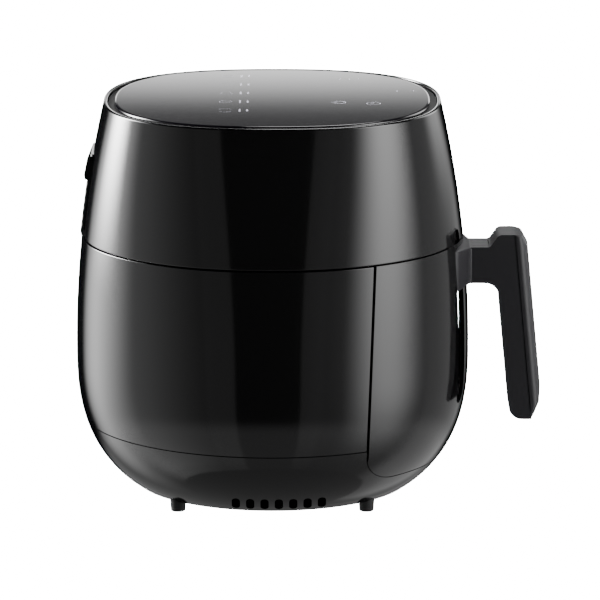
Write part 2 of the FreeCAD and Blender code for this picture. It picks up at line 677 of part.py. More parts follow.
def strap_rivets():
    """Rivets through the strap and the basket's front wall."""
    inside = sheet.pan_front - sheet.pan_wall - sheet.basket_gap
    slope = sheet.bay_draft / (pan_top - pan_floor)
    heads = []
    for x in (-0.3 * sheet.strap_width, 0.3 * sheet.strap_width):
        for drop in (10, 24):
            level = pan_top - drop
            wall = -inside + slope * drop + sheet.basket_wall + sheet.hair + sheet.strap_thickness
            heads.append(Part.makeSphere(2.2, Vector(x, wall + 0.9, level)).common(
                block(x - 3, x + 3, wall + sheet.fit, wall + 5, level - 3, level + 3)))
    return Part.makeCompound(heads)


def pan_brackets():
    """Blocks that join the pan's front wall to the drawer liner."""
    full = Part.makeLoft([pan_outline(pan_floor, -sheet.hair), pan_outline(pan_top, -sheet.hair)], True, True)
    low = sheet.recess_low
    blocks = []
    for side in (-1, 1):
        middle = side * (sheet.recess_half - 5)
        blocks.append(block(middle - 10, middle + 10, sheet.liner_thickness - sheet.liner_front + sheet.hair,
                            -sheet.pan_front + 12, low, low + 30).cut(full))
    return Part.makeCompound(blocks)


# Handle ------------------------------------------------------------------------------------------

def side_prism(points, half):
    """Solid across X from a side outline of (reach, height, corner radius) points."""
    spots = [Vector(-half, -u, z) for u, z, _ in points]
    return Part.Face(rounded(spots, [size for _, _, size in points])).extrude(Vector(2 * half, 0, 0))


def grip_line(level, depth):
    """Distance from the axis of a line that runs down the leaning grip, depth behind its front."""
    lean = (sheet.handle_reach - sheet.nose_reach) / (sheet.nose_level - sheet.reach_level)
    return sheet.nose_reach + lean * (sheet.nose_level - level) - depth


def screw_places():
    """Places of the screws that hold the handle, across and up."""
    across = sheet.handle_half - 2 * sheet.screw_radius
    return [(side * across, level) for side in (-1, 1) for level in (sheet.arm_low + 6, sheet.shelf_level - 6)]


def handle_holes():
    """Holes along Y for the screws of the handle."""
    size = sheet.screw_radius + sheet.screw_clearance
    return Part.makeCompound([
        Part.makeCylinder(size, 60, Vector(x, -sheet.pivot_reach + 2, z), Vector(0, 1, 0))
        for x, z in screw_places()])


def handle_grip():
    """Bracket, flared root and rear half of the grip, hollow where the latch lies."""
    half, low, shelf = sheet.handle_half, sheet.arm_low, sheet.shelf_level
    back = radius(shelf) - sheet.recess_depth - 10
    split = sheet.front_depth + sheet.handle_gap
    arm = side_prism([
        (back, low, 0),
        (grip_line(low, sheet.grip_depth), low, sheet.grip_round),
        (grip_line(sheet.grip_low, sheet.grip_depth), sheet.grip_low, sheet.grip_round),
        (grip_line(sheet.grip_low, split), sheet.grip_low, 0),
        (grip_line(sheet.cap_level, split), sheet.cap_level, 0),
        (sheet.step_reach + sheet.step_run / 2, sheet.cap_level, sheet.step_top_round),
        (sheet.step_reach - sheet.step_run / 2, shelf, sheet.step_foot_round),
        (back, shelf, 0),
    ], half)
    wide = sheet.recess_half - 3 * sheet.fit
    flare = polygon([Vector(x, -u, low) for x, u in (
        (-wide, back), (-wide, sheet.flare_reach - sheet.flare_run), (-half, sheet.flare_reach),
        (half, sheet.flare_reach), (wide, sheet.flare_reach - sheet.flare_run), (wide, back))])
    root = Part.Face(flare).extrude(Vector(0, 0, shelf - low))
    wall, room = sheet.grip_wall, sheet.button_flange + 0.5
    hollow = block(-sheet.button_half - room, sheet.button_half + room, -sheet.button_far - room,
                   sheet.lever_arm / 2 - sheet.pivot_reach, low + wall, shelf - sheet.shelf_wall)
    mouth = button_block(sheet.fit, shelf - wall, shelf + 1)
    pocket_high, pocket_low = low - sheet.pocket_end, sheet.grip_low + sheet.pocket_end
    pocket = side_prism([
        (grip_line(level, depth), level, 0) for level, depth in (
            (pocket_high, sheet.grip_depth - wall), (pocket_low, sheet.grip_depth - wall),
            (pocket_low, split - 1), (pocket_high, split - 1))
    ], half - wall)
    pin = Part.makeCylinder(sheet.pivot_radius + sheet.screw_clearance, 2 * half,
                            Vector(-half + 1, -sheet.pivot_reach, sheet.pivot_level), Vector(1, 0, 0))
    body = arm.fuse(root).cut(envelope(low - 6, shelf + 6, sheet.recess_depth - sheet.fit))
    return body.cut([hollow, mouth, pocket, pin, latch_passage(), handle_holes()])


def handle_front():
    """Front shell of the grip, convex in plan, with a sloping top."""
    gap = sheet.front_depth
    outline = side_prism([
        (grip_line(sheet.cap_level, gap), sheet.cap_level, 0),
        (sheet.nose_reach - sheet.nose_run, sheet.cap_level - sheet.nose_drop, 3),
        (sheet.nose_reach, sheet.nose_level, 2),
        (sheet.handle_reach, sheet.reach_level, 30),
        (sheet.handle_reach - 0.8, sheet.reach_level - 12, 5),
        (sheet.handle_reach - sheet.toe_run, sheet.grip_low + sheet.nose_drop, 2),
        (grip_line(sheet.grip_low, gap), sheet.grip_low, 0),
    ], sheet.handle_half)
    top, low = sheet.cap_level + 5, sheet.grip_low - 5
    half, front, back = sheet.handle_half, grip_line(top, 0), 3 * gap
    spots = [Vector(x, depth - front, top) for x, depth in (
        (-half, back), (-half, sheet.front_bow), (half, sheet.front_bow), (half, back))]
    bow = Part.Arc(spots[1], Vector(0, -front, top), spots[2]).toShape()
    sides = [Part.LineSegment(a, b).toShape() for a, b in (
        (spots[0], spots[1]), (spots[2], spots[3]), (spots[3], spots[0]))]
    plan = Part.Face(Part.Wire([sides[0], bow, sides[1], sides[2]]))
    column = plan.extrude(Vector(0, grip_line(top, 0) - grip_line(low, 0), low - top))
    pocket_high, pocket_low = sheet.arm_low - sheet.pocket_end, sheet.grip_low + 2 * sheet.grip_round
    pocket = side_prism([
        (grip_line(level, depth), level, 0) for level, depth in (
            (pocket_high, gap + 1), (pocket_low, gap + 1), (pocket_low, sheet.grip_wall + 1),
            (pocket_high, sheet.grip_wall + 1))
    ], half - 2 * sheet.grip_wall)
    return outline.common(column).cut(pocket)


def button_block(grow, low, high):
    """Upright block in the plan of the release button, made larger by grow."""
    half = sheet.button_half + grow
    return block(-half, half, -sheet.button_far - grow, grow - sheet.button_near, low, high)


def release_button():
    """Push button flush with the shelf, with a retaining flange and a rib that presses the lever."""
    top, under = sheet.shelf_level, sheet.shelf_level - sheet.button_skirt
    body = button_block(0, under, top)
    flange = button_block(sheet.button_flange, under, top - sheet.shelf_wall - sheet.fit)
    press = sheet.pivot_reach + sheet.lever_arm
    rib = block(-2, 2, -press - 1, 1 - press, lever_top() + sheet.fit, under)
    return body.fuse([flange, rib])


def lever_top():
    """Height of the lever's upper face under the button."""
    return sheet.pivot_level + 4


def latch_lever():
    """Rocking lever: the button presses its outer end and its hook lets go of the strap."""
    reach_out, level = sheet.pivot_reach, sheet.pivot_level
    catch = sheet.liner_front - sheet.liner_thickness - 2
    hook = catch - sheet.strap_thickness - 0.4
    outline = [
        (reach_out + sheet.lever_arm + 1.5, level + 1), (reach_out + sheet.lever_arm + 1.5, level + 4),
        (reach_out + sheet.lever_arm - 2, level + 4), (reach_out, level + 3.6),
        (reach_out - 4, level + 2.5), (reach_out - 9, level - 4),
        (hook - 2.4, level - 4), (hook - 2.4, level - 13),
        (hook, level - 13), (hook, level - 7.5),
        (reach_out - 8, level - 7.5), (reach_out, level - 3.6),
    ]
    lever = side_prism([(u, z, 0) for u, z in outline], sheet.lever_half)
    bore = Part.makeCylinder(sheet.pivot_radius + sheet.pivot_clearance, 20,
                             Vector(-10, -reach_out, level), Vector(1, 0, 0))
    return lever.cut(bore)


def button_springs():
    """Two coil springs between the floor of the bracket's hollow and the button."""
    low = sheet.arm_low + sheet.grip_wall + sheet.hair
    high = sheet.shelf_level - sheet.button_skirt - sheet.hair
    coil, wire = sheet.spring_radius, sheet.spring_wire
    length = high - low - 2 * wire
    helix = Part.makeHelix(length / sheet.spring_turns, length, coil)
    section = Part.Wire([Part.Circle(Vector(coil, 0, 0), Vector(0, 1, 0), wire).toShape()])
    spring = helix.makePipeShell([section], True, True)
    springs = []
    for side in (-1, 1):
        one = spring.copy()
        one.translate(Vector(side * (sheet.button_half + wire - coil - sheet.button_flange),
                             -(sheet.button_near + sheet.button_far) / 2, low + wire))
        springs.append(one)
    return Part.makeCompound(springs)


def handle_screws():
    """Screws put in from behind the drawer liner into the handle's root."""
    start = sheet.liner_thickness - sheet.liner_front + sheet.head_height + sheet.hair
    length = sheet.pivot_reach - 2 + start - 2
    return Part.makeCompound([screw(x, start, z, length, (Vector(1, 0, 0), 90)) for x, z in screw_places()])


def base_screws():
    """Screws put in from below that join the base cover to the bay."""
    low = sheet.base_level + 0.8
    length = sheet.bay_floor - low - sheet.head_height
    return Part.makeCompound([screw(x, y, low, length) for x, y in post_spots()])


def foot(x, y):
    """Rubber foot, tapered to the floor, with a stem through the base cover."""
    height = sheet.base_level + 6
    cone = Part.makeCone(sheet.foot_radius - sheet.foot_taper, sheet.foot_radius, height, Vector(x, y, 0))
    cone = cone.cut(envelope(sheet.base_level, sheet.base_level + 12, -sheet.hair / 2, layer=4))
    return cone.fuse(Part.makeCylinder(sheet.stem_radius, floor_top + 1.5 - 4, Vector(x, y, 4)))


# Top panel ---------------------------------------------------------------------------------------

def glass_panel():
    """Glass with a bevelled upper edge."""
    bevel = sheet.glass_bevel
    top = glass_under + sheet.glass_thickness
    rings = []
    for level, size in ((glass_under, sheet.glass_radius), (top - bevel, sheet.glass_radius),
                        (top, sheet.glass_radius - bevel)):
        ring = loop(sheet.rim_level, sheet.rim_radius - size)
        ring.translate(Vector(0, 0, level - sheet.rim_level))
        rings.append(ring)
    return Part.makeLoft(rings, True, True)


def top_bezel():
    """Flat ring that the glass lies on."""
    ring = rim_solid(rim_inside - sheet.fit, bezel_under, bezel_under + sheet.bezel_thickness)
    return ring.cut(rim_solid(rim_inside - sheet.bezel_width, bezel_under - 1, glass_under))


def board_frame():
    """Frame inside the ledge, with a square window under the touch board."""
    top = bezel_under - sheet.hair
    plate = rim_solid(rim_inside - sheet.ledge_width - sheet.fit, top - sheet.frame_thickness, top)
    half = sheet.board_width / 2 - 8
    return plate.cut(block(-half, half, -half, half, top - 10, top + 1))


# Heating element and boards ----------------------------------------------------------------------

def heater_ends():
    """Distances from the axis of the two upright ends of the heating tube."""
    return sheet.heater_inner, sheet.heater_inner + 4 * sheet.heater_step


def heating_element():
    """Tube wound in half circles that grow in turn, with an upright end through the chamber's top."""
    level, edges = sheet.seam_level + 0.5, []
    for turn in range(4):
        start = sheet.heater_inner + turn * sheet.heater_step
        end = start + sheet.heater_step
        side = 1 if turn % 2 == 0 else -1
        middle = side * (start - end) / 2
        size = (start + end) / 2
        edges.append(Part.Arc(Vector(side * start, 0, level), Vector(middle, side * size, level),
                              Vector(-side * end, 0, level)).toShape())
    path = Part.Wire(edges)
    section = Part.Wire([Part.Circle(Vector(sheet.heater_inner, 0, level), Vector(0, 1, 0),
                                     sheet.heater_radius).toShape()])
    tube = path.makePipeShell([section], True, True)
    for end in heater_ends():
        tube = tube.fuse(Part.makeSphere(sheet.heater_radius, Vector(end, 0, level)))
        tube = tube.fuse(Part.makeCylinder(sheet.heater_radius, chamber_top + 8 - level, Vector(end, 0, level)))
    return tube


board_level = plate_under + sheet.plate_thickness + 6
board_near, board_far, board_side = sheet.motor_radius + 12, sheet.motor_radius + 62, 50


def board_components():
    """Relay, transformer, capacitor and terminal block on the power board."""
    top = board_level + sheet.board_thickness + sheet.hair
    return Part.makeCompound([
        block(board_near + 4, board_near + 20, -40, -12, top, top + 15),
        block(board_near + 6, board_near + 34, 2, 28, top, top + 16),
        Part.makeCylinder(5, 18, Vector(board_near + 36, -24, top)),
        block(board_near + 26, board_near + 38, -42, -34, top, top + 9),
    ])


def board_spacers():
    """Spacers between the support plate and the power board."""
    low = plate_under + sheet.plate_thickness + sheet.hair
    return Part.makeCompound([
        Part.makeCylinder(3, board_level - low - sheet.hair, Vector(x, y, low))
        for x in (board_near + 4, board_far - 4) for y in (4 - board_side, board_side - 4)])


# Bodies drawn with sketches ----------------------------------------------------------------------

def new_body(label):
    body = doc.addObject("PartDesign::Body", label)
    return body


def sketch_on(body, role, level="0"):
    """Sketch on one of the body's own planes, raised to a level."""
    plane = next(item for item in body.Origin.OriginFeatures if item.Role == role)
    sketch = body.newObject("Sketcher::SketchObject", body.Label + "_outline")
    sketch.AttachmentSupport = (plane, [""])
    sketch.MapMode = "FlatFace"
    sketch.setExpression("AttachmentOffset.Base.z", tied(level))
    return sketch


def hold(sketch, kind, element, text):
    """Tie a corner, a centre or a radius of a sketch to the sheet."""
    where = (element, worth(text)) if kind == "Radius" else (-1, 1) + element + (worth(text),)
    number = sketch.addConstraint(Sketcher.Constraint(kind, *where))
    sketch.setExpression(f"Constraints[{number}]", tied(text))


def corners(sketch, points):
    """Closed run of straight edges whose corners are expressions."""
    first = sketch.GeometryCount
    spots = [Vector(worth(x), worth(y), 0) for x, y in points]
    for start, end in zip(spots, spots[1:] + spots[:1]):
        sketch.addGeometry(Part.LineSegment(start, end))
    for i in range(len(spots)):
        sketch.addConstraint(Sketcher.Constraint("Coincident", first + i, 2, first + (i + 1) % len(spots), 1))
    for i, (x, y) in enumerate(points):
        hold(sketch, "DistanceX", (first + i, 1), x)
        hold(sketch, "DistanceY", (first + i, 1), y)


def circles(sketch, rows):
    """Circles whose centres and radii are expressions."""
    for x, y, size in rows:
        number = sketch.addGeometry(Part.Circle(Vector(worth(x), worth(y), 0), Vector(0, 0, 1), worth(size)))
        hold(sketch, "DistanceX", (number, 3), x)
        hold(sketch, "DistanceY", (number, 3), y)
        hold(sketch, "Radius", number, size)


def pad(body, sketch, length, name="pad"):
    feature = body.newObject("PartDesign::Pad", body.Label + "_" + name)
    feature.Profile = sketch
    feature.setExpression("Length", tied(length))
    return feature


def cut_through(body, sketch):
    """Pocket through the whole body, both ways from its sketch."""
    feature = body.newObject("PartDesign::Pocket", body.Label + "_holes")
    feature.Profile = sketch
    feature.Type = "ThroughAll"
    feature.Midplane = True
    return feature


def turned(label, points):
    """Body turned about Z from an outline of (radius, height) expressions."""
    body = new_body(label)
    sketch = sketch_on(body, "XZ_Plane")
    corners(sketch, points)
    feature = body.newObject("PartDesign::Revolution", label + "_turn")
    feature.Profile = sketch
    feature.ReferenceAxis = (sketch, ["V_Axis"])
    feature.Angle = 360
    return body


def repeat(body, feature, sketch, count):
    """Copies of a feature round the sketch's normal."""
    pattern = body.newObject("PartDesign::PolarPattern", body.Label + "_round")
    pattern.Originals = [feature]
    pattern.Axis = (sketch, ["N_Axis"])
    pattern.Angle = 360
    pattern.Occurrences = count
    body.Tip = pattern


def fan(label, level, height, size, blades):
    """Fan with a hub, a thin disc on top and straight blades; its underside is at level."""
    body = new_body(label)
    hub = sketch_on(body, "XY_Plane", level)
    circles(hub, [("0", "0", "hub_radius"), ("0", "0", "shaft_radius + screw_clearance")])
    pad(body, hub, height, "hub")
    disc = sketch_on(body, "XY_Plane", f"{level} + {height} - 1.2")
    circles(disc, [("0", "0", size), ("0", "0", "hub_radius - 2")])
    pad(body, disc, "1.2", "disc")
    blade = sketch_on(body, "XY_Plane", level)
    half = "blade_thickness / 2"
    corners(blade, [("hub_radius - 2", f"-{half}"), (f"{size} - 2", f"-{half}"),
                    (f"{size} - 2", half), ("hub_radius - 2", half)])
    repeat(body, pad(body, blade, f"{height} - 0.5", "blade"), blade, blades)
    return keep(body, label)


PLATE = "rim_level - plate_drop"
CHAMBER = f"{PLATE} - fan_bay"
CEILING = "seam_level + 1 + ceiling_thickness + hair"
HOT_FAN = f"{CHAMBER} - chamber_wall - hot_fan_gap - hot_fan_height"
COOL_FAN = f"{CHAMBER} + 3"
BOARD = f"{PLATE} + plate_thickness + 6"


def chamber_liner():
    """Sheet-steel dome over the basket, with a flange that rests on the bay's ceiling."""
    inner, outer = "chamber_radius", "chamber_radius + chamber_wall"
    body = turned("chamber_liner", [
        (inner, "seam_level - chamber_drop"), (outer, "seam_level - chamber_drop"), (outer, CEILING),
        ("shield_radius + 6", CEILING), ("shield_radius + 6", f"{CEILING} + chamber_wall"),
        (outer, f"{CEILING} + chamber_wall"), (outer, CHAMBER), ("shaft_radius + 5", CHAMBER),
        ("shaft_radius + 5", f"{CHAMBER} - chamber_wall"), (inner, f"{CHAMBER} - chamber_wall")])
    holes = sketch_on(body, "XY_Plane", CHAMBER)
    circles(holes, [("heater_inner", "0", "heater_radius + hair"),
                    ("heater_inner + 4 * heater_step", "0", "heater_radius + hair"),
                    ("-heater_inner - 10", "0", "2 + hair")])
    cut_through(body, holes)
    return keep(body, "chamber_liner")


def support_plate():
    """Sheet-steel plate that carries the motor and the power board."""
    body = new_body("support_plate")
    outline = sketch_on(body, "XY_Plane", PLATE)
    circles(outline, [("0", "0", "shield_radius + 5"), ("0", "0", "shaft_radius + 3")])
    pad(body, outline, "plate_thickness")
    slots = sketch_on(body, "XY_Plane", PLATE)
    corners(slots, [("-16", "motor_radius + 8"), ("16", "motor_radius + 8"), ("24", "cool_fan_radius"),
                    ("-24", "cool_fan_radius")])
    slot = cut_through(body, slots)
    repeat(body, slot, slots, 4)
    holes = sketch_on(body, "XY_Plane", PLATE)
    place = "(motor_radius - 8) * 0.7071"
    circles(holes, [(f"{a}{place}", f"{b}{place}", "screw_radius + screw_clearance")
                    for a in ("", "-") for b in ("", "-")])
    cut_through(body, holes)
    return keep(body, "support_plate")


def motor():
    """Closed motor with a bore for its shaft."""
    bore = "shaft_radius + shaft_clearance"
    low = f"{PLATE} + plate_thickness + hair"
    body = turned("motor", [
        (bore, low), ("motor_radius", low), ("motor_radius", f"{low} + motor_height - 4"),
        ("motor_radius - 4", f"{low} + motor_height"), ("0", f"{low} + motor_height"),
        ("0", f"{low} + motor_height - 2"), (bore, f"{low} + motor_height - 2")])
    holes = sketch_on(body, "XY_Plane", low)
    place = "(motor_radius - 8) * 0.7071"
    circles(holes, [(f"{a}{place}", f"{b}{place}", "screw_radius + screw_clearance")
                    for a in ("", "-") for b in ("", "-")])
    feature = body.newObject("PartDesign::Pocket", "motor_screw_holes")
    feature.Profile = holes
    feature.Length = 9
    feature.Reversed = True
    return keep(body, "motor")


def motor_screws():
    """Screws put in from below through the support plate."""
    place = (sheet.motor_radius - 8) * 0.7071
    low = plate_under - sheet.head_height - sheet.hair
    return Part.makeCompound([screw(x, y, low, 9, None) for x in (-place, place) for y in (-place, place)])


def fan_nut():
    """Hexagonal nut under the hot-air fan."""
    body = new_body("fan_nut")
    outline = sketch_on(body, "XY_Plane", f"{HOT_FAN} - 4 - hair")
    across, point = "shaft_radius * 1.5", "shaft_radius * 1.7321"
    corners(outline, [(point, "0"), (f"{point} / 2", across), (f"-{point} / 2", across), (f"-{point}", "0"),
                      (f"-{point} / 2", f"-{across}"), (f"{point} / 2", f"-{across}")])
    circles(outline, [("0", "0", "shaft_radius + screw_clearance")])
    pad(body, outline, "4")
    return keep(body, "fan_nut")


def motor_shaft():
    """Steel shaft from the nut up into the motor."""
    shaft = doc.addObject("Part::Cylinder", "motor_shaft")
    low = f"{HOT_FAN} - 6"
    shaft.setExpression("Radius", tied("shaft_radius"))
    shaft.setExpression("Height", tied(f"{PLATE} + plate_thickness + motor_height - 3 - ({low})"))
    return keep(shaft, "motor_shaft", z=low)


def heat_shield():
    """Sheet-steel ring round the chamber, with a window for the exhaust duct."""
    low = f"{CEILING} + chamber_wall + hair"
    ring = []
    for name, size in (("shield_outside", "shield_radius + chamber_wall"), ("shield_inside", "shield_radius")):
        wall = doc.addObject("Part::Cylinder", name)
        wall.setExpression("Radius", tied(size))
        wall.setExpression("Height", tied(f"{PLATE} - hair - ({low})"))
        wall.setExpression("Placement.Base.z", tied(low))
        ring.append(wall)
    opening = doc.addObject("Part::Box", "shield_window")
    opening.setExpression("Length", tied("2 * (outlet_half - 8)"))
    opening.setExpression("Width", tied("40"))
    opening.setExpression("Height", tied(f"{PLATE} - seam_level - 16"))
    opening.setExpression("Placement.Base.x", tied("8 - outlet_half"))
    opening.setExpression("Placement.Base.y", tied("shield_radius - 20"))
    opening.setExpression("Placement.Base.z", tied("seam_level + 10"))
    tools = doc.addObject("Part::Fuse", "shield_tools")
    tools.Base, tools.Tool = ring[1], opening
    shield = doc.addObject("Part::Cut", "heat_shield")
    shield.Base, shield.Tool = ring[0], tools
    return keep(shield, "heat_shield")


def guard_grille():
    """Wire rings on four spokes below the heating element."""
    level = "seam_level - guard_drop"
    wires = []
    for number in range(4):
        ring = doc.addObject("Part::Torus", f"guard_ring_{number + 1}")
        ring.setExpression("Radius1", tied(f"(chamber_radius - guard_wire - hair) * {(number + 1) / 4}"))
        ring.setExpression("Radius2", tied("guard_wire"))
        ring.setExpression("Placement.Base.z", tied(level))
        wires.append(ring)
    start = "(chamber_radius - guard_wire - hair) / 4"
    for number in range(4):
        spoke = doc.addObject("Part::Cylinder", f"guard_spoke_{number + 1}")
        spoke.setExpression("Radius", tied("guard_wire * 0.9"))
        spoke.setExpression("Height", tied(f"3 * {start}"))
        along = Vector(cos(number * pi / 2), sin(number * pi / 2), 0)
        spoke.Placement.Rotation = FreeCAD.Rotation(Vector(0, 0, 1), along)
        spoke.setExpression("Placement.Base.x", tied(f"{start} * {round(along.x)}"))
        spoke.setExpression("Placement.Base.y", tied(f"{start} * {round(along.y)}"))
        spoke.setExpression("Placement.Base.z", tied(level))
        wires.append(spoke)
    grille = doc.addObject("Part::MultiFuse", "guard_grille")
    grille.Shapes = wires
    return keep(grille, "guard_grille")


def rod(label, size, height, x, y, z):
    """Upright round piece."""
    piece = doc.addObject("Part::Cylinder", label)
    piece.setExpression("Radius", tied(size))
    piece.setExpression("Height", tied(height))
    return keep(piece, label, x, y, z)


def slab(label, length, width, height, x, y, z):
    """Box-shaped piece whose lowest corner is at x, y, z."""
    piece = doc.addObject("Part::Box", label)
    for side, text in (("Length", length), ("Width", width), ("Height", height)):
        piece.setExpression(side, tied(text))
    return keep(piece, label, x, y, z)


def latch_pin():
    """Pin across the bracket on which the lever rocks."""
    pin = doc.addObject("Part::Cylinder", "latch_pin")
    pin.setExpression("Radius", tied("pivot_radius"))
    pin.setExpression("Height", tied("2 * handle_half - 3"))
    pin.Placement.Rotation = FreeCAD.Rotation(Vector(0, 1, 0), 90)
    return keep(pin, "latch_pin", "1.5 - handle_half", "-pivot_reach", "pivot_level")


# Everything --------------------------------------------------------------------------------------

for maker in (
    upper_housing, lower_housing, base_cover, notch_liner, outlet_cover, air_duct, cord_gland,
    drawer_bay, bay_ceiling, drawer_front, recess_tray, drawer_liner, basket, basket_strap,
    strap_rivets, pan_brackets, handle_grip, handle_front, release_button, latch_lever,
    button_springs, handle_screws, base_screws, motor_screws, glass_panel, top_bezel, board_frame,
    heating_element, board_components, board_spacers,
):
    keep_shape(maker(), maker.__name__)
keep_shape(tub(pan_floor, pan_top, 0, sheet.pan_wall), "pan")
for label, x, y in (("foot_front_left", -1, -1), ("foot_front_right", 1, -1),
                    ("foot_rear_left", -1, 1), ("foot_rear_right", 1, 1)):
    keep_shape(foot(x * sheet.foot_spread, y * sheet.foot_spread), label)
chamber_liner()
support_plate()
motor()
fan_nut()
motor_shaft()
heat_shield()
guard_grille()
latch_pin()
fan("hot_fan", HOT_FAN, "hot_fan_height", "hot_fan_radius", 12)
fan("cooling_fan", COOL_FAN, "cool_fan_height", "cool_fan_radius", 9)
slab("touch_board", "board_width", "board_width", "board_thickness", "-board_width / 2", "-board_width / 2",
     "rim_level + glass_rise - glass_thickness - hair - bezel_thickness")
slab("power_board", "50", "100", "board_thickness", "motor_radius + 12", "-50", BOARD)
for label, middle in (("left_rail", "-rail_spacing"), ("right_rail", "rail_spacing")):
    slab(label, "rail_width", "belly_radius - 5", "rail_height", f"{middle} - rail_width / 2",
         "5 - front_cut_low", "bay_floor + bay_wall")
rod("thermal_cutout", "8", "5", "0", "chamber_radius - 15", f"{CHAMBER} + hair")
rod("temperature_probe", "2", "30", "-heater_inner - 10", "0", f"{CHAMBER} - 22")
slab("drawer_sensor", "14", "5", "5", "recess_half + 4", "1 - liner_front", CEILING)
slab("sensor_magnet", "10", "3", "8", "recess_half + 5", "liner_thickness + hair - liner_front",
     "seam_level - 13")

doc.recompute()
faults = [thing.Label for thing in doc.Objects if {"Invalid", "Error"} & set(thing.State)]
for piece in pieces:
    if piece.Shape.isNull() or not piece.Shape.isValid():
        faults.append(piece.Label)
if faults:
    raise SystemExit("these failed: " + ", ".join(sorted(set(faults))))

os.makedirs("parts", exist_ok=True)
for piece in pieces:
    piece.Shape.exportStep(f"parts/{piece.Label}.step")
print(len(pieces), "pieces written")
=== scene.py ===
import bmesh
import bpy
import numpy as np
from bpy.props import FloatProperty, FloatVectorProperty, PointerProperty
from bpy.types import Operator, Panel, PropertyGroup
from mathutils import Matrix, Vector


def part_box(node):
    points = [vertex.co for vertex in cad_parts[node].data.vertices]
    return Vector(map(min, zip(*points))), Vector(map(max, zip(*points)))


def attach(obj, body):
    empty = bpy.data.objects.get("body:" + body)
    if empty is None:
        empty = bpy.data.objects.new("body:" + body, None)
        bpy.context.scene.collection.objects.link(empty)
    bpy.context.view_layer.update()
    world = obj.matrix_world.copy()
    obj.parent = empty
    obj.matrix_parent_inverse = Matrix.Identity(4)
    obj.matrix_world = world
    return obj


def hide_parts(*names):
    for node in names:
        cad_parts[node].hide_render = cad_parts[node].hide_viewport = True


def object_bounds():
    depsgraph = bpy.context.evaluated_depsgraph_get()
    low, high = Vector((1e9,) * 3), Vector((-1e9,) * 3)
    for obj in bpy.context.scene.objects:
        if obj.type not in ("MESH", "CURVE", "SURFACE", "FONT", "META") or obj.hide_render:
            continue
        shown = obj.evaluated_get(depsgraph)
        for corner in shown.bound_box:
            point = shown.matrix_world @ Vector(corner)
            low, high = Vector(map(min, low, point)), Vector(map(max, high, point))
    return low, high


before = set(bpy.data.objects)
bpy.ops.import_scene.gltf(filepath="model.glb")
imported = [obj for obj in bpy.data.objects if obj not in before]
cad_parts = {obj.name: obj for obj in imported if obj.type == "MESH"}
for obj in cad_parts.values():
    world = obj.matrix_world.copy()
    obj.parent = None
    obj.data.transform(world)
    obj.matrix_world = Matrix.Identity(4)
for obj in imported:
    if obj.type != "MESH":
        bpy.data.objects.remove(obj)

CAD_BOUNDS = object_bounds()

bl_info = {
    "name": "Air Fryer",
    "version": (1, 0, 0),
    "blender": (4, 5, 0),
    "location": "View3D > Sidebar > Air Fryer",
    "description": "Builds the finished surfaces of a round air fryer with a drawer round its CAD frame",
    "category": "Add Mesh",
}

MM = 0.001


def low(node):
    """Lowest corner of a CAD node, as an array in metres."""
    return np.array(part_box(node)[0])


def high(node):
    return np.array(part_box(node)[1])


AXIS_Y = float((low("top_bezel")[1] + high("top_bezel")[1]) / 2)


# Sizes and colours -------------------------------------------------------------------------------

def linear(code):
    """Linear red, green and blue of an sRGB hex value."""
    channels = [int(code[i:i + 2], 16) / 255 for i in (0, 2, 4)]
    return tuple(c / 12.92 if c <= 0.04045 else ((c + 0.055) / 1.055) ** 2.4 for c in channels)


def length(name, description, default):
    return FloatProperty(name=name, description=description, default=float(default), unit="LENGTH", precision=5)


def number(name, description, default):
    return FloatProperty(name=name, description=description, default=float(default), precision=3)


def colour(name, description, code):
    return FloatVectorProperty(name=name, description=description, default=linear(code), subtype="COLOR",
                               min=0, max=1, size=3)


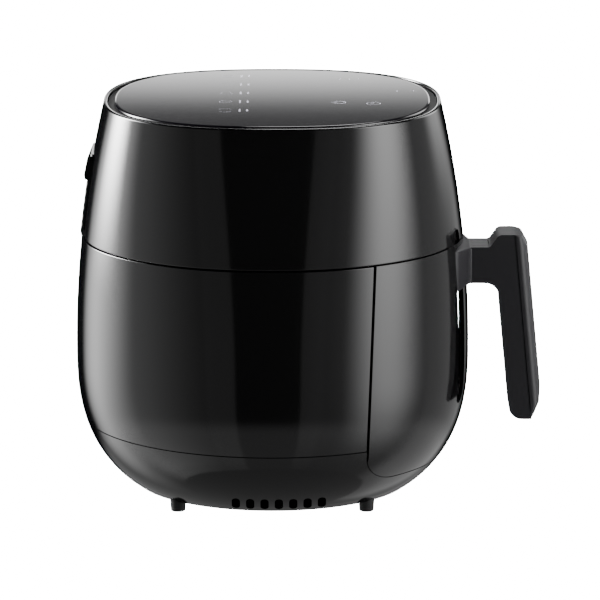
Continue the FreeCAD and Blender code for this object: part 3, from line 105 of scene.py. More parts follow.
class AirFryerForm(PropertyGroup):
    """Sizes of the visible surfaces; where the frame holds a size, its default is read from there."""
    belly_radius: length("Belly radius", "Half the width at the widest level", high("lower_housing")[0])
    belly_level: length("Belly level", "Height of the widest level", 110 * MM)
    rim_radius: length("Rim radius", "Half the width at the top rim", 123.5 * MM)
    rim_level: length("Rim level", "Height of the top rim", high("upper_housing")[2])
    rim_squareness: number("Rim squareness", "Superellipse exponent of the rim; 2 is a circle", 2.45)
    base_drop: length("Base drop", "Depth below the belly at which the lower curve would close", 122.5 * MM)
    base_bow: number("Base bow", "Exponent of the lower curve along its depth", 2.6)
    base_root: number("Base root", "Exponent of the lower curve across its width", 2.7)
    wall: length("Wall", "Thickness of the outer shells", 2.6 * MM)
    seam_over: length("Upper side of the seam", "Lower edge of the upper housing", low("upper_housing")[2])
    seam_under: length("Lower side of the seam", "Upper edge of the lower housing", high("lower_housing")[2])
    cover_over: length("Cover seam", "Lower edge of the lower housing", low("lower_housing")[2])
    front_cut_top: length("Front cut at the seam", "Distance of the housing's front edge from the axis",
                          AXIS_Y - low("lower_housing")[1])
    front_cut_low: length("Front cut below", "The same at the drawer front's lower edge", 67.6 * MM)
    front_low: length("Front opening", "Height of the lower edge of the opening for the drawer front", 31 * MM)
    front_corner: length("Front corner", "Corner radius at the lower end of the side edges", 20 * MM)
    front_gap: length("Front gap", "Open gap round the drawer front", low("drawer_front")[2] - 31 * MM)
    edge_round: length("Edge rounding", "Radius of the moulded edges of the shells", 0.75 * MM)
    rim_wall: length("Rim wall", "Thickness of the wall at the top rim", 2.9 * MM)
    glass_radius: length("Glass radius", "Half the width of the glass", high("glass_panel")[0])
    glass_bevel: length("Glass bevel", "Width of the polished edge of the glass", 1.8 * MM)
    recess_half: length("Recess half width", "Half the width of the recess behind the handle", 49 * MM)
    slot_inner: length("Island half width", "Half the width of the island between the slots", 33 * MM)
    recess_low: length("Recess low", "Height of the lower tips of the slots", 74.5 * MM)
    recess_high: length("Recess high", "Height of the top of the opening", 191 * MM)
    arm_low: length("Arm underside", "Height of the handle bracket's underside", 159 * MM)
    shelf_level: length("Shelf", "Height of the bracket's shelf", high("release_button")[2])
    notch_high: length("Notch high", "Height of the top of the notches in the upper housing", 204 * MM)
    notch_corner: length("Notch corner", "Corner radius of those notches", 7 * MM)
    handle_half: length("Handle half width", "Half the width of the handle", high("handle_front")[0])


class AirFryerColours(PropertyGroup):
    """Colours of the finishes, as sRGB hex values turned to linear."""
    shell: colour("Shell", "Piano-black moulded shells", "060607")
    glass: colour("Glass", "Black back-printed glass", "0B0A0E")
    legend: colour("Legend", "Icons printed behind the glass", "A7A5B2")
    satin: colour("Satin", "Handle mouldings", "151418")
    inner: colour("Inner", "Textured inner mouldings", "0B0B0C")
    rubber: colour("Rubber", "Feet and cord gland", "0E0E0F")
    coating: colour("Coating", "Non-stick coating of pan and basket", "242426")
    floor: colour("Floor", "Studio floor", "F7F7F7")


def form():
    return bpy.context.scene.air_fryer_form


def colours():
    return bpy.context.scene.air_fryer_colours


# Outer form --------------------------------------------------------------------------------------

def half_width(z):
    """Half width at a height: a parabola above the belly and a superellipse below it."""
    f = form()
    up = np.clip((z - f.belly_level) / (f.rim_level - f.belly_level), 0, None)
    down = np.clip((f.belly_level - z) / f.base_drop, 0, 0.999)
    under = f.belly_radius * (1 - down ** f.base_bow) ** (1 / f.base_root)
    return np.where(z >= f.belly_level, f.belly_radius - (f.belly_radius - f.rim_radius) * up ** 2, under)


def squareness(z):
    """Superellipse exponent at a height: 2 up to the belly, then growing with the square of the height."""
    f = form()
    up = np.clip((z - f.belly_level) / (f.rim_level - f.belly_level), 0, None)
    return 2 + (f.rim_squareness - 2) * up ** 2


def on_form(turn, z, inset=0.0):
    """Points of the outer form: turn is the angle from the front (-Y) towards +X, and the distance from
    the axis is the half width less an inset, over the superellipse norm of the direction."""
    turn, z, inset = np.broadcast_arrays(turn, z, inset)
    power = squareness(z)
    norm = (np.abs(np.cos(turn)) ** power + np.abs(np.sin(turn)) ** power) ** (1 / power)
    far = (half_width(z) - inset) / norm
    return np.stack([far * np.sin(turn), AXIS_Y - far * np.cos(turn), z], -1)


def other_side(distance, z, inset=0.0):
    """Where the superellipse of a height crosses a line at a distance from the axis: the other coordinate."""
    power = squareness(z)
    return np.clip((half_width(z) - inset) ** power - np.abs(distance) ** power, 1e-12, None) ** (1 / power)


def turn_at_side(side, z):
    return np.arctan2(side, other_side(side, z))


def turn_at_depth(depth, z):
    return np.arctan2(other_side(depth, z), depth)


def front_cut(z, gap=0.0):
    """Distance ahead of the axis of the opening's side edge: a leaning line that ends in a round corner."""
    f = form()
    share = (z - f.front_low) / (f.seam_under - f.front_low)
    line = f.front_cut_low + (f.front_cut_top - f.front_cut_low) * share
    size = f.front_corner
    below = np.clip(f.front_low + size - z, 0, size - gap)
    return line + size - np.sqrt((size - gap) ** 2 - below ** 2)


def eased(start, end, count, grip=2.4):
    """Positions from start to end, closer together near both ends."""
    t = np.linspace(-1, 1, count)
    return start + (end - start) * (np.tanh(grip * t) / np.tanh(grip) + 1) / 2


# Meshes ------------------------------------------------------------------------------------------

def quads(rows, columns, closed_rows=False, closed_columns=False):
    """Corner numbers of a grid's faces, with its last row or column joined to the first where closed."""
    r = np.arange(rows if closed_rows else rows - 1)[:, None]
    c = np.arange(columns if closed_columns else columns - 1)[None, :]
    r1, c1 = (r + 1) % rows, (c + 1) % columns
    return np.stack(np.broadcast_arrays(r * columns + c, r * columns + c1, r1 * columns + c1,
                                        r1 * columns + c), -1)


def place_mesh(name, mesh, body, material, replaced=()):
    """Object from a mesh: doubles are merged, faces turned out and shaded smooth, and it rides its body."""
    work = bmesh.new()
    work.from_mesh(mesh)
    bmesh.ops.remove_doubles(work, verts=work.verts, dist=1e-7)
    bmesh.ops.recalc_face_normals(work, faces=work.faces)
    work.to_mesh(mesh)
    work.free()
    mesh.polygons.foreach_set("use_smooth", np.ones(len(mesh.polygons), bool))
    mesh.materials.append(material)
    piece = bpy.data.objects.new(name, mesh)
    bpy.context.scene.collection.objects.link(piece)
    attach(piece, body)
    if replaced:
        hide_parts(*replaced)
    return piece


def make_piece(name, points, faces, body, material, replaced=()):
    """Piece from points and four-cornered faces, without the points that no face uses."""
    points = np.asarray(points, float).reshape(-1, 3)
    faces = np.asarray(faces).reshape(-1, 4)
    used, places = np.unique(faces, return_inverse=True)
    mesh = bpy.data.meshes.new(name)
    mesh.from_pydata(points[used].tolist(), [], places.reshape(-1, 4).tolist())
    return place_mesh(name, mesh, body, material, replaced)


def face_outwards(piece):
    """Turn an open surface so that its faces look away from the axis."""
    mesh = piece.data
    centre = np.array([(*polygon.center,) for polygon in mesh.polygons])
    normal = np.array([(*polygon.normal,) for polygon in mesh.polygons])
    away = np.sum((centre - [0, AXIS_Y, centre[:, 2].mean()]) * normal, 1).sum()
    if away < 0:
        mesh.flip_normals()


def give_wall(piece, thickness):
    wall = piece.modifiers.new("Wall", "SOLIDIFY")
    wall.thickness = thickness
    wall.offset = -1


def round_edges(piece, width, segments=3, angle=40):
    edges = piece.modifiers.new("Edges", "BEVEL")
    edges.width = width
    edges.segments = segments
    edges.limit_method = "ANGLE"
    edges.angle_limit = np.radians(angle)
    edges.harden_normals = True


def lathe(name, profile, centre, body, material, replaced=(), around=64):
    """Surface of revolution: the profile's (radius, height) points carried round an upright axis."""
    profile = np.asarray(profile, float)
    turn = np.linspace(0, 2 * np.pi, around, endpoint=False)
    radii, levels = profile[:, :1], np.repeat(profile[:, 1:], around, 1)
    points = np.stack([centre[0] + radii * np.cos(turn), centre[1] + radii * np.sin(turn), levels], -1)
    return make_piece(name, points, quads(len(profile), around, closed_columns=True), body, material,
                      replaced)


def rounded_outline(points, steps=8):
    """Closed outline of (u, z, radius) corners, each rounded by an arc that touches both of its sides."""
    outline = []
    count = len(points)
    for index, (u, z, size) in enumerate(points):
        here = np.array([u, z])
        before = np.array(points[index - 1][:2]) - here
        after = np.array(points[(index + 1) % count][:2]) - here
        before, after = before / np.linalg.norm(before), after / np.linalg.norm(after)
        half = np.arccos(np.clip(before @ after, -1, 1)) / 2
        if size == 0:
            outline.append(here)
            continue
        centre = here + (before + after) / np.linalg.norm(before + after) * size / np.sin(half)
        start = here + before * size / np.tan(half) - centre
        end = here + after * size / np.tan(half) - centre
        angle = np.arctan2(start[0] * end[1] - start[1] * end[0], start @ end)
        for a in np.linspace(0, angle, steps):
            turned = np.array([start[0] * np.cos(a) - start[1] * np.sin(a),
                               start[0] * np.sin(a) + start[1] * np.cos(a)])
            outline.append(centre + turned)
    return np.array(outline)


# Materials ---------------------------------------------------------------------------------------

def add_node(tree, kind, settings=None, links=None, **inputs):
    """Add a shader node: settings are its attributes, links its sources and inputs its socket values."""
    made = tree.nodes.new(kind)
    for key, value in (settings or {}).items():
        setattr(made, key, value)
    for key, value in inputs.items():
        made.inputs[key.replace("_", " ")].default_value = value
    for key, source in (links or {}).items():
        tree.links.new(source, made.inputs[key])
    return made


def finish_of(name, base, roughness, **constants):
    """Material with one Principled shader whose constants are set on its own sockets."""
    material = bpy.data.materials.new(name)
    material.use_nodes = True
    tree = material.node_tree
    tree.nodes.clear()
    shader = add_node(tree, "ShaderNodeBsdfPrincipled", Base_Color=(*base, 1), Roughness=roughness, **constants)
    add_node(tree, "ShaderNodeOutputMaterial", links={"Surface": shader.outputs["BSDF"]})
    return material, tree, shader


def noise(tree, size, detail=2.0):
    """Noise whose features are about size metres across, on the piece's Object coordinates."""
    place = add_node(tree, "ShaderNodeTexCoord").outputs["Object"]
    made = add_node(tree, "ShaderNodeTexNoise", links={"Vector": place}, Scale=1 / size, Detail=detail)
    return made.outputs["Fac"]


def bump(tree, shader, height, depth, strength):
    """Lead a height pattern into the shader's normal as relief of a real depth."""
    made = add_node(tree, "ShaderNodeBump", links={"Height": height}, Strength=strength, Distance=depth)
    tree.links.new(made.outputs["Normal"], shader.inputs["Normal"])


def vary_roughness(tree, shader, pattern, lowest, highest):
    spread = add_node(tree, "ShaderNodeMapRange", links={"Value": pattern}, From_Min=0.3, From_Max=0.7,
                      To_Min=lowest, To_Max=highest)
    tree.links.new(spread.outputs["Result"], shader.inputs["Roughness"])


def piano_black_abs():
    """High-gloss black ABS from a polished steel mould: mirror-like, with a slight waviness of a few
    centimetres from the sink of the wall, which bends the reflections a little."""
    material, tree, shader = finish_of("piano_black_abs", colours().shell, 0.09, IOR=1.5)
    bump(tree, shader, noise(tree, 60 * MM, 1.0), 0.05 * MM, 0.25)
    vary_roughness(tree, shader, noise(tree, 1.5 * MM), 0.08, 0.105)
    return material


def printed_glass():
    """Tempered soda-lime glass with black ink behind it: flat, hard and mirror-like."""
    material, tree, shader = finish_of("printed_glass", colours().glass, 0.05, IOR=1.52)
    vary_roughness(tree, shader, noise(tree, 2 * MM), 0.04, 0.06)
    return material


def legend_ink():
    """Translucent grey screen-printed ink for the icons, seen dull behind the glass."""
    material, tree, shader = finish_of("legend_ink", colours().legend, 0.12, IOR=1.52)
    vary_roughness(tree, shader, noise(tree, 2 * MM), 0.1, 0.14)
    return material


def satin_abs():
    """Black ABS from a fine spark-eroded mould: an even satin with a grain of about 0.12 mm, drawn
    0.3 mm wide so that it still shows."""
    material, tree, shader = finish_of("satin_abs", colours().satin, 0.5, IOR=1.46)
    grain = noise(tree, 0.3 * MM, 3.0)
    bump(tree, shader, grain, 0.02 * MM, 0.35)
    vary_roughness(tree, shader, grain, 0.45, 0.53)
    return material


def textured_pp():
    """Black polypropylene inner moulding with a coarse, matt erosion grain of about 0.4 mm."""
    material, tree, shader = finish_of("textured_pp", colours().inner, 0.55, IOR=1.49)
    grain = noise(tree, 0.4 * MM, 3.0)
    bump(tree, shader, grain, 0.05 * MM, 0.4)
    vary_roughness(tree, shader, grain, 0.5, 0.62)
    return material


def moulded_rubber():
    """Black silicone rubber, moulded: matt, with a fine bloom."""
    material, tree, shader = finish_of("moulded_rubber", colours().rubber, 0.75, IOR=1.43)
    vary_roughness(tree, shader, noise(tree, 0.8 * MM), 0.7, 0.82)
    return material


def nonstick_coating():
    """PTFE coating sprayed on steel: dark grey, low sheen, with an orange peel of about 1 mm."""
    material, tree, shader = finish_of("nonstick_coating", colours().coating, 0.42, IOR=1.38)
    peel = noise(tree, 1.0 * MM, 1.0)
    bump(tree, shader, peel, 0.03 * MM, 0.4)
    vary_roughness(tree, shader, noise(tree, 0.4 * MM), 0.36, 0.48)
    return material


def rolled_metal(name, code, roughness, grain):
    """Rolled or turned sheet metal: grey, with fine streaks grain metres wide along the X direction."""
    material, tree, shader = finish_of(name, linear(code), roughness, Metallic=1.0)
    place = add_node(tree, "ShaderNodeTexCoord").outputs["Object"]
    streaks = add_node(tree, "ShaderNodeMapping", links={"Vector": place}, Scale=(0.05, 1, 1)).outputs["Vector"]
    pattern = add_node(tree, "ShaderNodeTexNoise", links={"Vector": streaks}, Scale=1 / grain, Detail=2.0)
    vary_roughness(tree, shader, pattern.outputs["Fac"], roughness - 0.06, roughness + 0.06)
    return material


def moulded_plastic(name, code, roughness, grain):
    """Plain moulded plastic or laminate in one colour, with a grain of the given size."""
    material, tree, shader = finish_of(name, linear(code), roughness, IOR=1.5)
    vary_roughness(tree, shader, noise(tree, grain), roughness - 0.05, roughness + 0.05)
    return material


FINISHES = {}


def make_finishes():
    """Make each material once and keep it under its slot of the record."""
    FINISHES.update(
        shell_gloss=piano_black_abs(), panel_glass=printed_glass(), legend=legend_ink(),
        handle_satin=satin_abs(), dark_inner=textured_pp(), foot_rubber=moulded_rubber(),
        nonstick=nonstick_coating(),
        sheet_steel=rolled_metal("aluminised_steel", "9B9C9E", 0.34, 0.3 * MM),
        heater_steel=rolled_metal("annealed_heater_tube", "5E5A55", 0.42, 0.3 * MM),
        fan_aluminium=rolled_metal("pressed_aluminium", "B9BABC", 0.36, 0.3 * MM),
        zinc_steel=rolled_metal("zinc_plated_steel", "A7A9AB", 0.3, 0.2 * MM),
        motor_steel=rolled_metal("motor_lamination_steel", "6C6E70", 0.45, 0.3 * MM),
        board_green=moulded_plastic("fibreglass_board", "17452A", 0.35, 0.5 * MM),
        component_dark=moulded_plastic("epoxy_case", "19191B", 0.4, 0.5 * MM))


# Pieces ------------------------------------------------------------------------------------------

def quarter(size, count, start=0.0):
    """Run and rise of a quarter circle of a radius, from level to upright."""
    angle = np.linspace(start, np.pi / 2, count)
    return size * np.sin(angle), size * (1 - np.cos(angle))


class AIRFRYER_OT_upper_shell(Operator):
    """Upper housing: a closed ring of the outer form with a rolled rim and two arched notches"""
    bl_idname = "airfryer.upper_shell"
    bl_label = "Upper housing"

    def execute(self, context):
        """The section at each turn is a closed path of (inset, height): up the outer wall, round the rim,
        in over the ledge, and down inside. Its lower end is lifted to the arch of each notch and eases
        back to its own height within a short distance above it."""
        f = form()
        turns = self.turns()
        side = np.abs(on_form(turns, f.seam_over)[:, 0])
        half = (f.recess_half - f.slot_inner) / 2
        off = np.abs(side - f.slot_inner - half)
        bend = np.clip(off - (half - f.notch_corner), 0, f.notch_corner)
        arch = f.notch_high - f.notch_corner + np.sqrt(f.notch_corner ** 2 - bend ** 2)
        lift = np.where((off <= half + 1e-6) & (np.cos(turns) > 0), arch - f.seam_over, 0)

        inset, level, share = self.section()
        points = on_form(turns[None, :], level[:, None] + share[:, None] * lift[None, :], inset[:, None])
        make_piece("upper_shell", points, quads(len(level), len(turns), True, True), "housing",
                   FINISHES["shell_gloss"], ["upper_housing"])
        return {"FINISHED"}

    def turns(self):
        """Turns round the body, closer together across the notches and at their sides."""
        f = form()
        half = (f.recess_half - f.slot_inner) / 2
        across = f.slot_inner + half + half * np.sin(np.linspace(-np.pi / 2, np.pi / 2, 23))
        side = np.concatenate([np.linspace(0, f.slot_inner - 1 * MM, 10), [f.slot_inner - 0.05 * MM], across,
                               [f.recess_half + 0.05 * MM]])
        near = turn_at_side(side, np.full(len(side), f.seam_over))
        half_turn = np.concatenate([near, np.linspace(near[-1] + 0.008, np.pi, 120)])
        return np.concatenate([half_turn, 2 * np.pi - half_turn[-2:0:-1]])

    def section(self):
        """Inset, height and share of the notches' lift along the section of the wall."""
        f = form()
        lip, crown = f.edge_round, 1.3 * MM
        run, rise = quarter(lip, 5)
        outer = np.concatenate([
            [f.seam_over + lip + 0.4 * MM], np.linspace(f.seam_over + 3 * MM, f.seam_over + 22 * MM, 12),
            np.linspace(f.seam_over + 26 * MM, f.rim_level - crown - 1 * MM, 26),
            [f.rim_level - crown - 0.3 * MM]])
        over_run, over_rise = quarter(crown, 7)
        ledge = low("top_bezel")[2]
        inner_low = np.array([f.rim_level - 0.6 * MM, ledge, ledge - 1 * MM])
        inset = np.concatenate([
            lip - run, np.zeros(len(outer)), over_rise,
            [f.rim_wall - 0.6 * MM, f.rim_wall, f.rim_wall, f.rim_wall],
            [f.rim_wall + 12 * MM, f.rim_wall + 12 * MM, f.wall + 0.4 * MM, f.wall, f.wall, f.wall - 0.6 * MM]])
        level = np.concatenate([
            f.seam_over + rise, outer, f.rim_level - crown + over_run,
            [f.rim_level, *inner_low],
            [ledge - 1 * MM, ledge - 3 * MM, ledge - 3 * MM, f.seam_over + 40 * MM, f.seam_over + 0.6 * MM,
             f.seam_over]])
        above = np.clip((level - f.seam_over) / (24 * MM), 0, 1)
        return inset, level, (1 - above) ** 1.3


class AIRFRYER_OT_lower_shell(Operator):
    """Lower housing: the outer form round the sides and the back, open at the front for the drawer"""
    bl_idname = "airfryer.lower_shell"
    bl_label = "Lower housing"

    def execute(self, context):
        """Rows are heights, and columns run from one side edge of the opening round the back to the other
        at equal shares of the turn between them."""
        f = form()
        levels = eased(f.cover_over, f.seam_under, 48, 1.6)
        share = eased(0, 1, 150, 1.6)
        edge = turn_at_depth(front_cut(levels), levels)
        turns = edge[:, None] + (2 * np.pi - 2 * edge[:, None]) * share[None, :]
        points = on_form(turns, levels[:, None])
        piece = make_piece("lower_shell", points, quads(len(levels), len(share)), "housing",
                           FINISHES["shell_gloss"], ["lower_housing"])
        face_outwards(piece)
        give_wall(piece, f.wall)
        round_edges(piece, f.edge_round)
        return {"FINISHED"}


class AIRFRYER_OT_drawer_face(Operator):
    """Drawer front: the part of the outer form ahead of the opening, with two slots and the arm's window"""
    bl_idname = "airfryer.drawer_face"
    bl_label = "Drawer front"

    def execute(self, context):
        """Columns stand at fixed distances from the middle as far as the slots reach, and from there to the
        side edge at equal shares of the turn. Rows bend with the slots' round tips and top corners, and
        the faces inside the slots and the window are left out."""
        f = form()
        tip = (f.recess_half - f.slot_inner) / 2
        centre = f.slot_inner + tip
        arc = centre + tip * np.sin(np.linspace(-np.pi / 2, np.pi / 2, 13))
        inside = np.concatenate([np.linspace(0, f.slot_inner - 2.5 * MM, 12), arc,
                                 [f.recess_half + 2.5 * MM, f.recess_half + 5 * MM]])
        outside = eased(0, 1, 26, 1.4)[1:]

        low_edge, high_edge = low("drawer_front")[2], high("drawer_front")[2]
        corner_top = f.front_low + f.front_corner
        turn_share = np.linspace(0, np.pi / 2, 12)
        low_rows = low_edge + (corner_top - low_edge) * (1 - np.cos(turn_share))
        tip_level, top_level = f.recess_low + tip, f.recess_high - tip
        mid_rows = np.linspace(corner_top, tip_level, 14)[1:]
        slot_rows = np.concatenate([np.linspace(tip_level, f.arm_low, 24)[1:],
                                    np.linspace(f.arm_low, top_level, 8)[1:]])
        top_rows = np.linspace(top_level, high_edge, 6)[1:]
        levels = np.concatenate([low_rows, mid_rows, slot_rows, top_rows])
        tip_row, arm_row = len(low_rows) + len(mid_rows) - 1, len(low_rows) + len(mid_rows) + 22
        top_row = len(low_rows) + len(mid_rows) + len(slot_rows) - 1

        dip = np.zeros(len(inside))
        in_slot = (inside > f.slot_inner - 1e-9) & (inside < f.recess_half + 1e-9)
        dip[in_slot] = np.sqrt(np.clip(tip ** 2 - (inside[in_slot] - centre) ** 2, 0, None))
        rise = np.where(inside <= centre, tip, dip)
        rise[inside > f.recess_half + 1e-9] = 0

        level = np.repeat(levels[:, None], len(inside), 1)
        under = np.clip(1 - (tip_level - level) / (30 * MM), 0, 1) * (level <= tip_level + 1e-9)
        over = np.where(level <= top_level, np.clip(1 - (top_level - level) / (20 * MM), 0, 1),
                        np.clip((high_edge - level) / (high_edge - top_level), 0, 1)) * (level > f.arm_low)
        level = level - under * dip + over * rise
        start = other_side(inside[-1], levels)
        middle = np.stack([np.broadcast_to(inside, level.shape), AXIS_Y - other_side(inside[None, :], level),
                           level], -1)
        first = np.arctan2(inside[-1], start)
        last = turn_at_depth(front_cut(levels, f.front_gap) + f.front_gap * (levels >= corner_top), levels)
        turns = first[:, None] + (last - first)[:, None] * outside[None, :]
        flank = on_form(turns, levels[:, None])

        half = np.concatenate([middle, flank], 1)
        mirrored = half[:, :0:-1] * [-1, 1, 1]
        points = np.concatenate([mirrored, half], 1)
        count = half.shape[1]
        faces = quads(len(levels), points.shape[1])
        column = np.abs(np.arange(2 * count - 2) + 0.5 - (count - 1)) - 0.5
        row = np.arange(len(levels) - 1)[:, None]
        slot_first, slot_last = 12, 12 + len(arc) - 1
        in_columns = (column >= slot_first) & (column < slot_last)
        slots = in_columns[None, :] & (row >= tip_row) & (row < top_row)
        window = (column < slot_last)[None, :] & (row >= arm_row) & (row < top_row)
        piece = make_piece("drawer_face", points, faces[~(slots | window)], "drawer",
                           FINISHES["shell_gloss"], ["drawer_front"])
        face_outwards(piece)
        give_wall(piece, f.wall)
        round_edges(piece, f.edge_round)
        return {"FINISHED"}


class AIRFRYER_OT_top_glass(Operator):
    """Glass panel with a polished edge, and the icons printed on its back"""
    bl_idname = "airfryer.top_glass"
    bl_label = "Glass panel"

    def execute(self, context):
        """The glass is the rim's superellipse scaled from the middle outwards, with a rounded edge."""
        f = form()
        bottom, top = low("glass_panel")[2], high("glass_panel")[2] - 0.05 * MM
        run, fall = quarter(f.glass_bevel, 9)
        inner = f.glass_radius - f.glass_bevel
        size = np.concatenate([
            np.linspace(0, inner - 0.5 * MM, 16), inner + run, [f.glass_radius, f.glass_radius - 0.3 * MM],
            np.linspace(f.glass_radius - 1 * MM, 0, 6)])
        level = np.concatenate([np.full(16, top), top - fall, [bottom + 0.3 * MM, bottom], np.full(6, bottom)])
        turns = np.linspace(0, 2 * np.pi, 192, endpoint=False)
        points = on_form(turns[None, :], np.full((len(size), 1), f.rim_level), f.rim_radius - size[:, None])
        points[..., 2] = level[:, None]
        make_piece("top_glass", points, quads(len(size), len(turns), closed_columns=True), "housing",
                   FINISHES["panel_glass"], ["glass_panel"])
        self.icons(high("glass_panel")[2] - 0.015 * MM)
        return {"FINISHED"}

    def stroke(self, path, width, level):
        """Flat ribbon along a path of (x, y) points: each point is moved half the width to both sides."""
        path = np.asarray(path, float)
        along = np.gradient(path, axis=0)
        along /= np.linalg.norm(along, axis=1, keepdims=True) + 1e-12
        across = np.stack([-along[:, 1], along[:, 0]], 1) * width / 2
        sides = np.stack([path - across, path + across], 1)
        points = np.concatenate([sides, np.full((len(path), 2, 1), level)], 2)
        return points.reshape(-1, 3), quads(len(path), 2)

    def arc(self, centre, size, start, end, count=14):
        angle = np.radians(np.linspace(start, end, count))
        return np.stack([centre[0] + size * np.cos(angle), centre[1] + size * np.sin(angle)], 1)

    def icons(self, level):
        """Generic glyphs: a row of presets, a power ring, a clock, plus and minus signs and three short bars.
        """
        strokes = []

        def line(*points, width=0.35 * MM):
            strokes.append(self.stroke(points, width, level))

        y = AXIS_Y + 34 * MM
        for step in range(5):
            x, size = (88 - 35 * step) * MM, 4.5 * MM
            if step % 3 == 0:
                line(*self.arc((x, y), size, 0, 360, 25))
                line((x, y - size / 2), (x, y + size / 2))
            elif step % 3 == 1:
                line(*self.arc((x - size / 2, y), size, 110, 250))
                line(*self.arc((x + size / 2, y), size, -70, 70))
            else:
                line((x - size, y - size), (x - size, y + size), (x + size, y + size * 0.6),
                     (x + size, y - size * 0.6), (x - size, y - size))
            for row, wide in enumerate((5.2, 3.8)):
                beside = y - (10.5 + 5.5 * row) * MM
                line((x - wide * MM, beside), (x + wide * MM, beside), width=1.3 * MM)
        power_x, power_y = -20 * MM, AXIS_Y - 49 * MM
        line(*self.arc((power_x, power_y), 4.6 * MM, 120, 420, 25), width=0.9 * MM)
        line((power_x, power_y + 1.5 * MM), (power_x, power_y + 6 * MM), width=0.9 * MM)
        clock_x, clock_y = -24 * MM, AXIS_Y - 74 * MM
        line(*self.arc((clock_x, clock_y), 5.0 * MM, 0, 360, 25), width=0.7 * MM)
        line((clock_x, clock_y + 3 * MM), (clock_x, clock_y), (clock_x + 2.5 * MM, clock_y), width=0.7 * MM)
        for shift, upright in ((-6, False), (6, True)):
            x, y = 26 * MM, AXIS_Y - (98 + shift) * MM
            line((x - 3 * MM, y), (x + 3 * MM, y), width=0.7 * MM)
            if upright:
                line((x, y - 3 * MM), (x, y + 3 * MM), width=0.7 * MM)
        for step in range(3):
            x, y = 76 * MM, AXIS_Y - (50 + 7 * step) * MM
            line((x - 3 * MM, y), (x + 3 * MM, y), width=0.5 * MM)
        points, faces, count = [], [], 0
        for spots, sides in strokes:
            points.append(spots)
            faces.append(sides.reshape(-1, 4) + count)
            count += len(spots)
        piece = make_piece("panel_icons", np.concatenate(points), np.concatenate(faces), "housing",
                           FINISHES["legend"])
        if piece.data.polygons[0].normal.z < 0:
            piece.data.flip_normals()


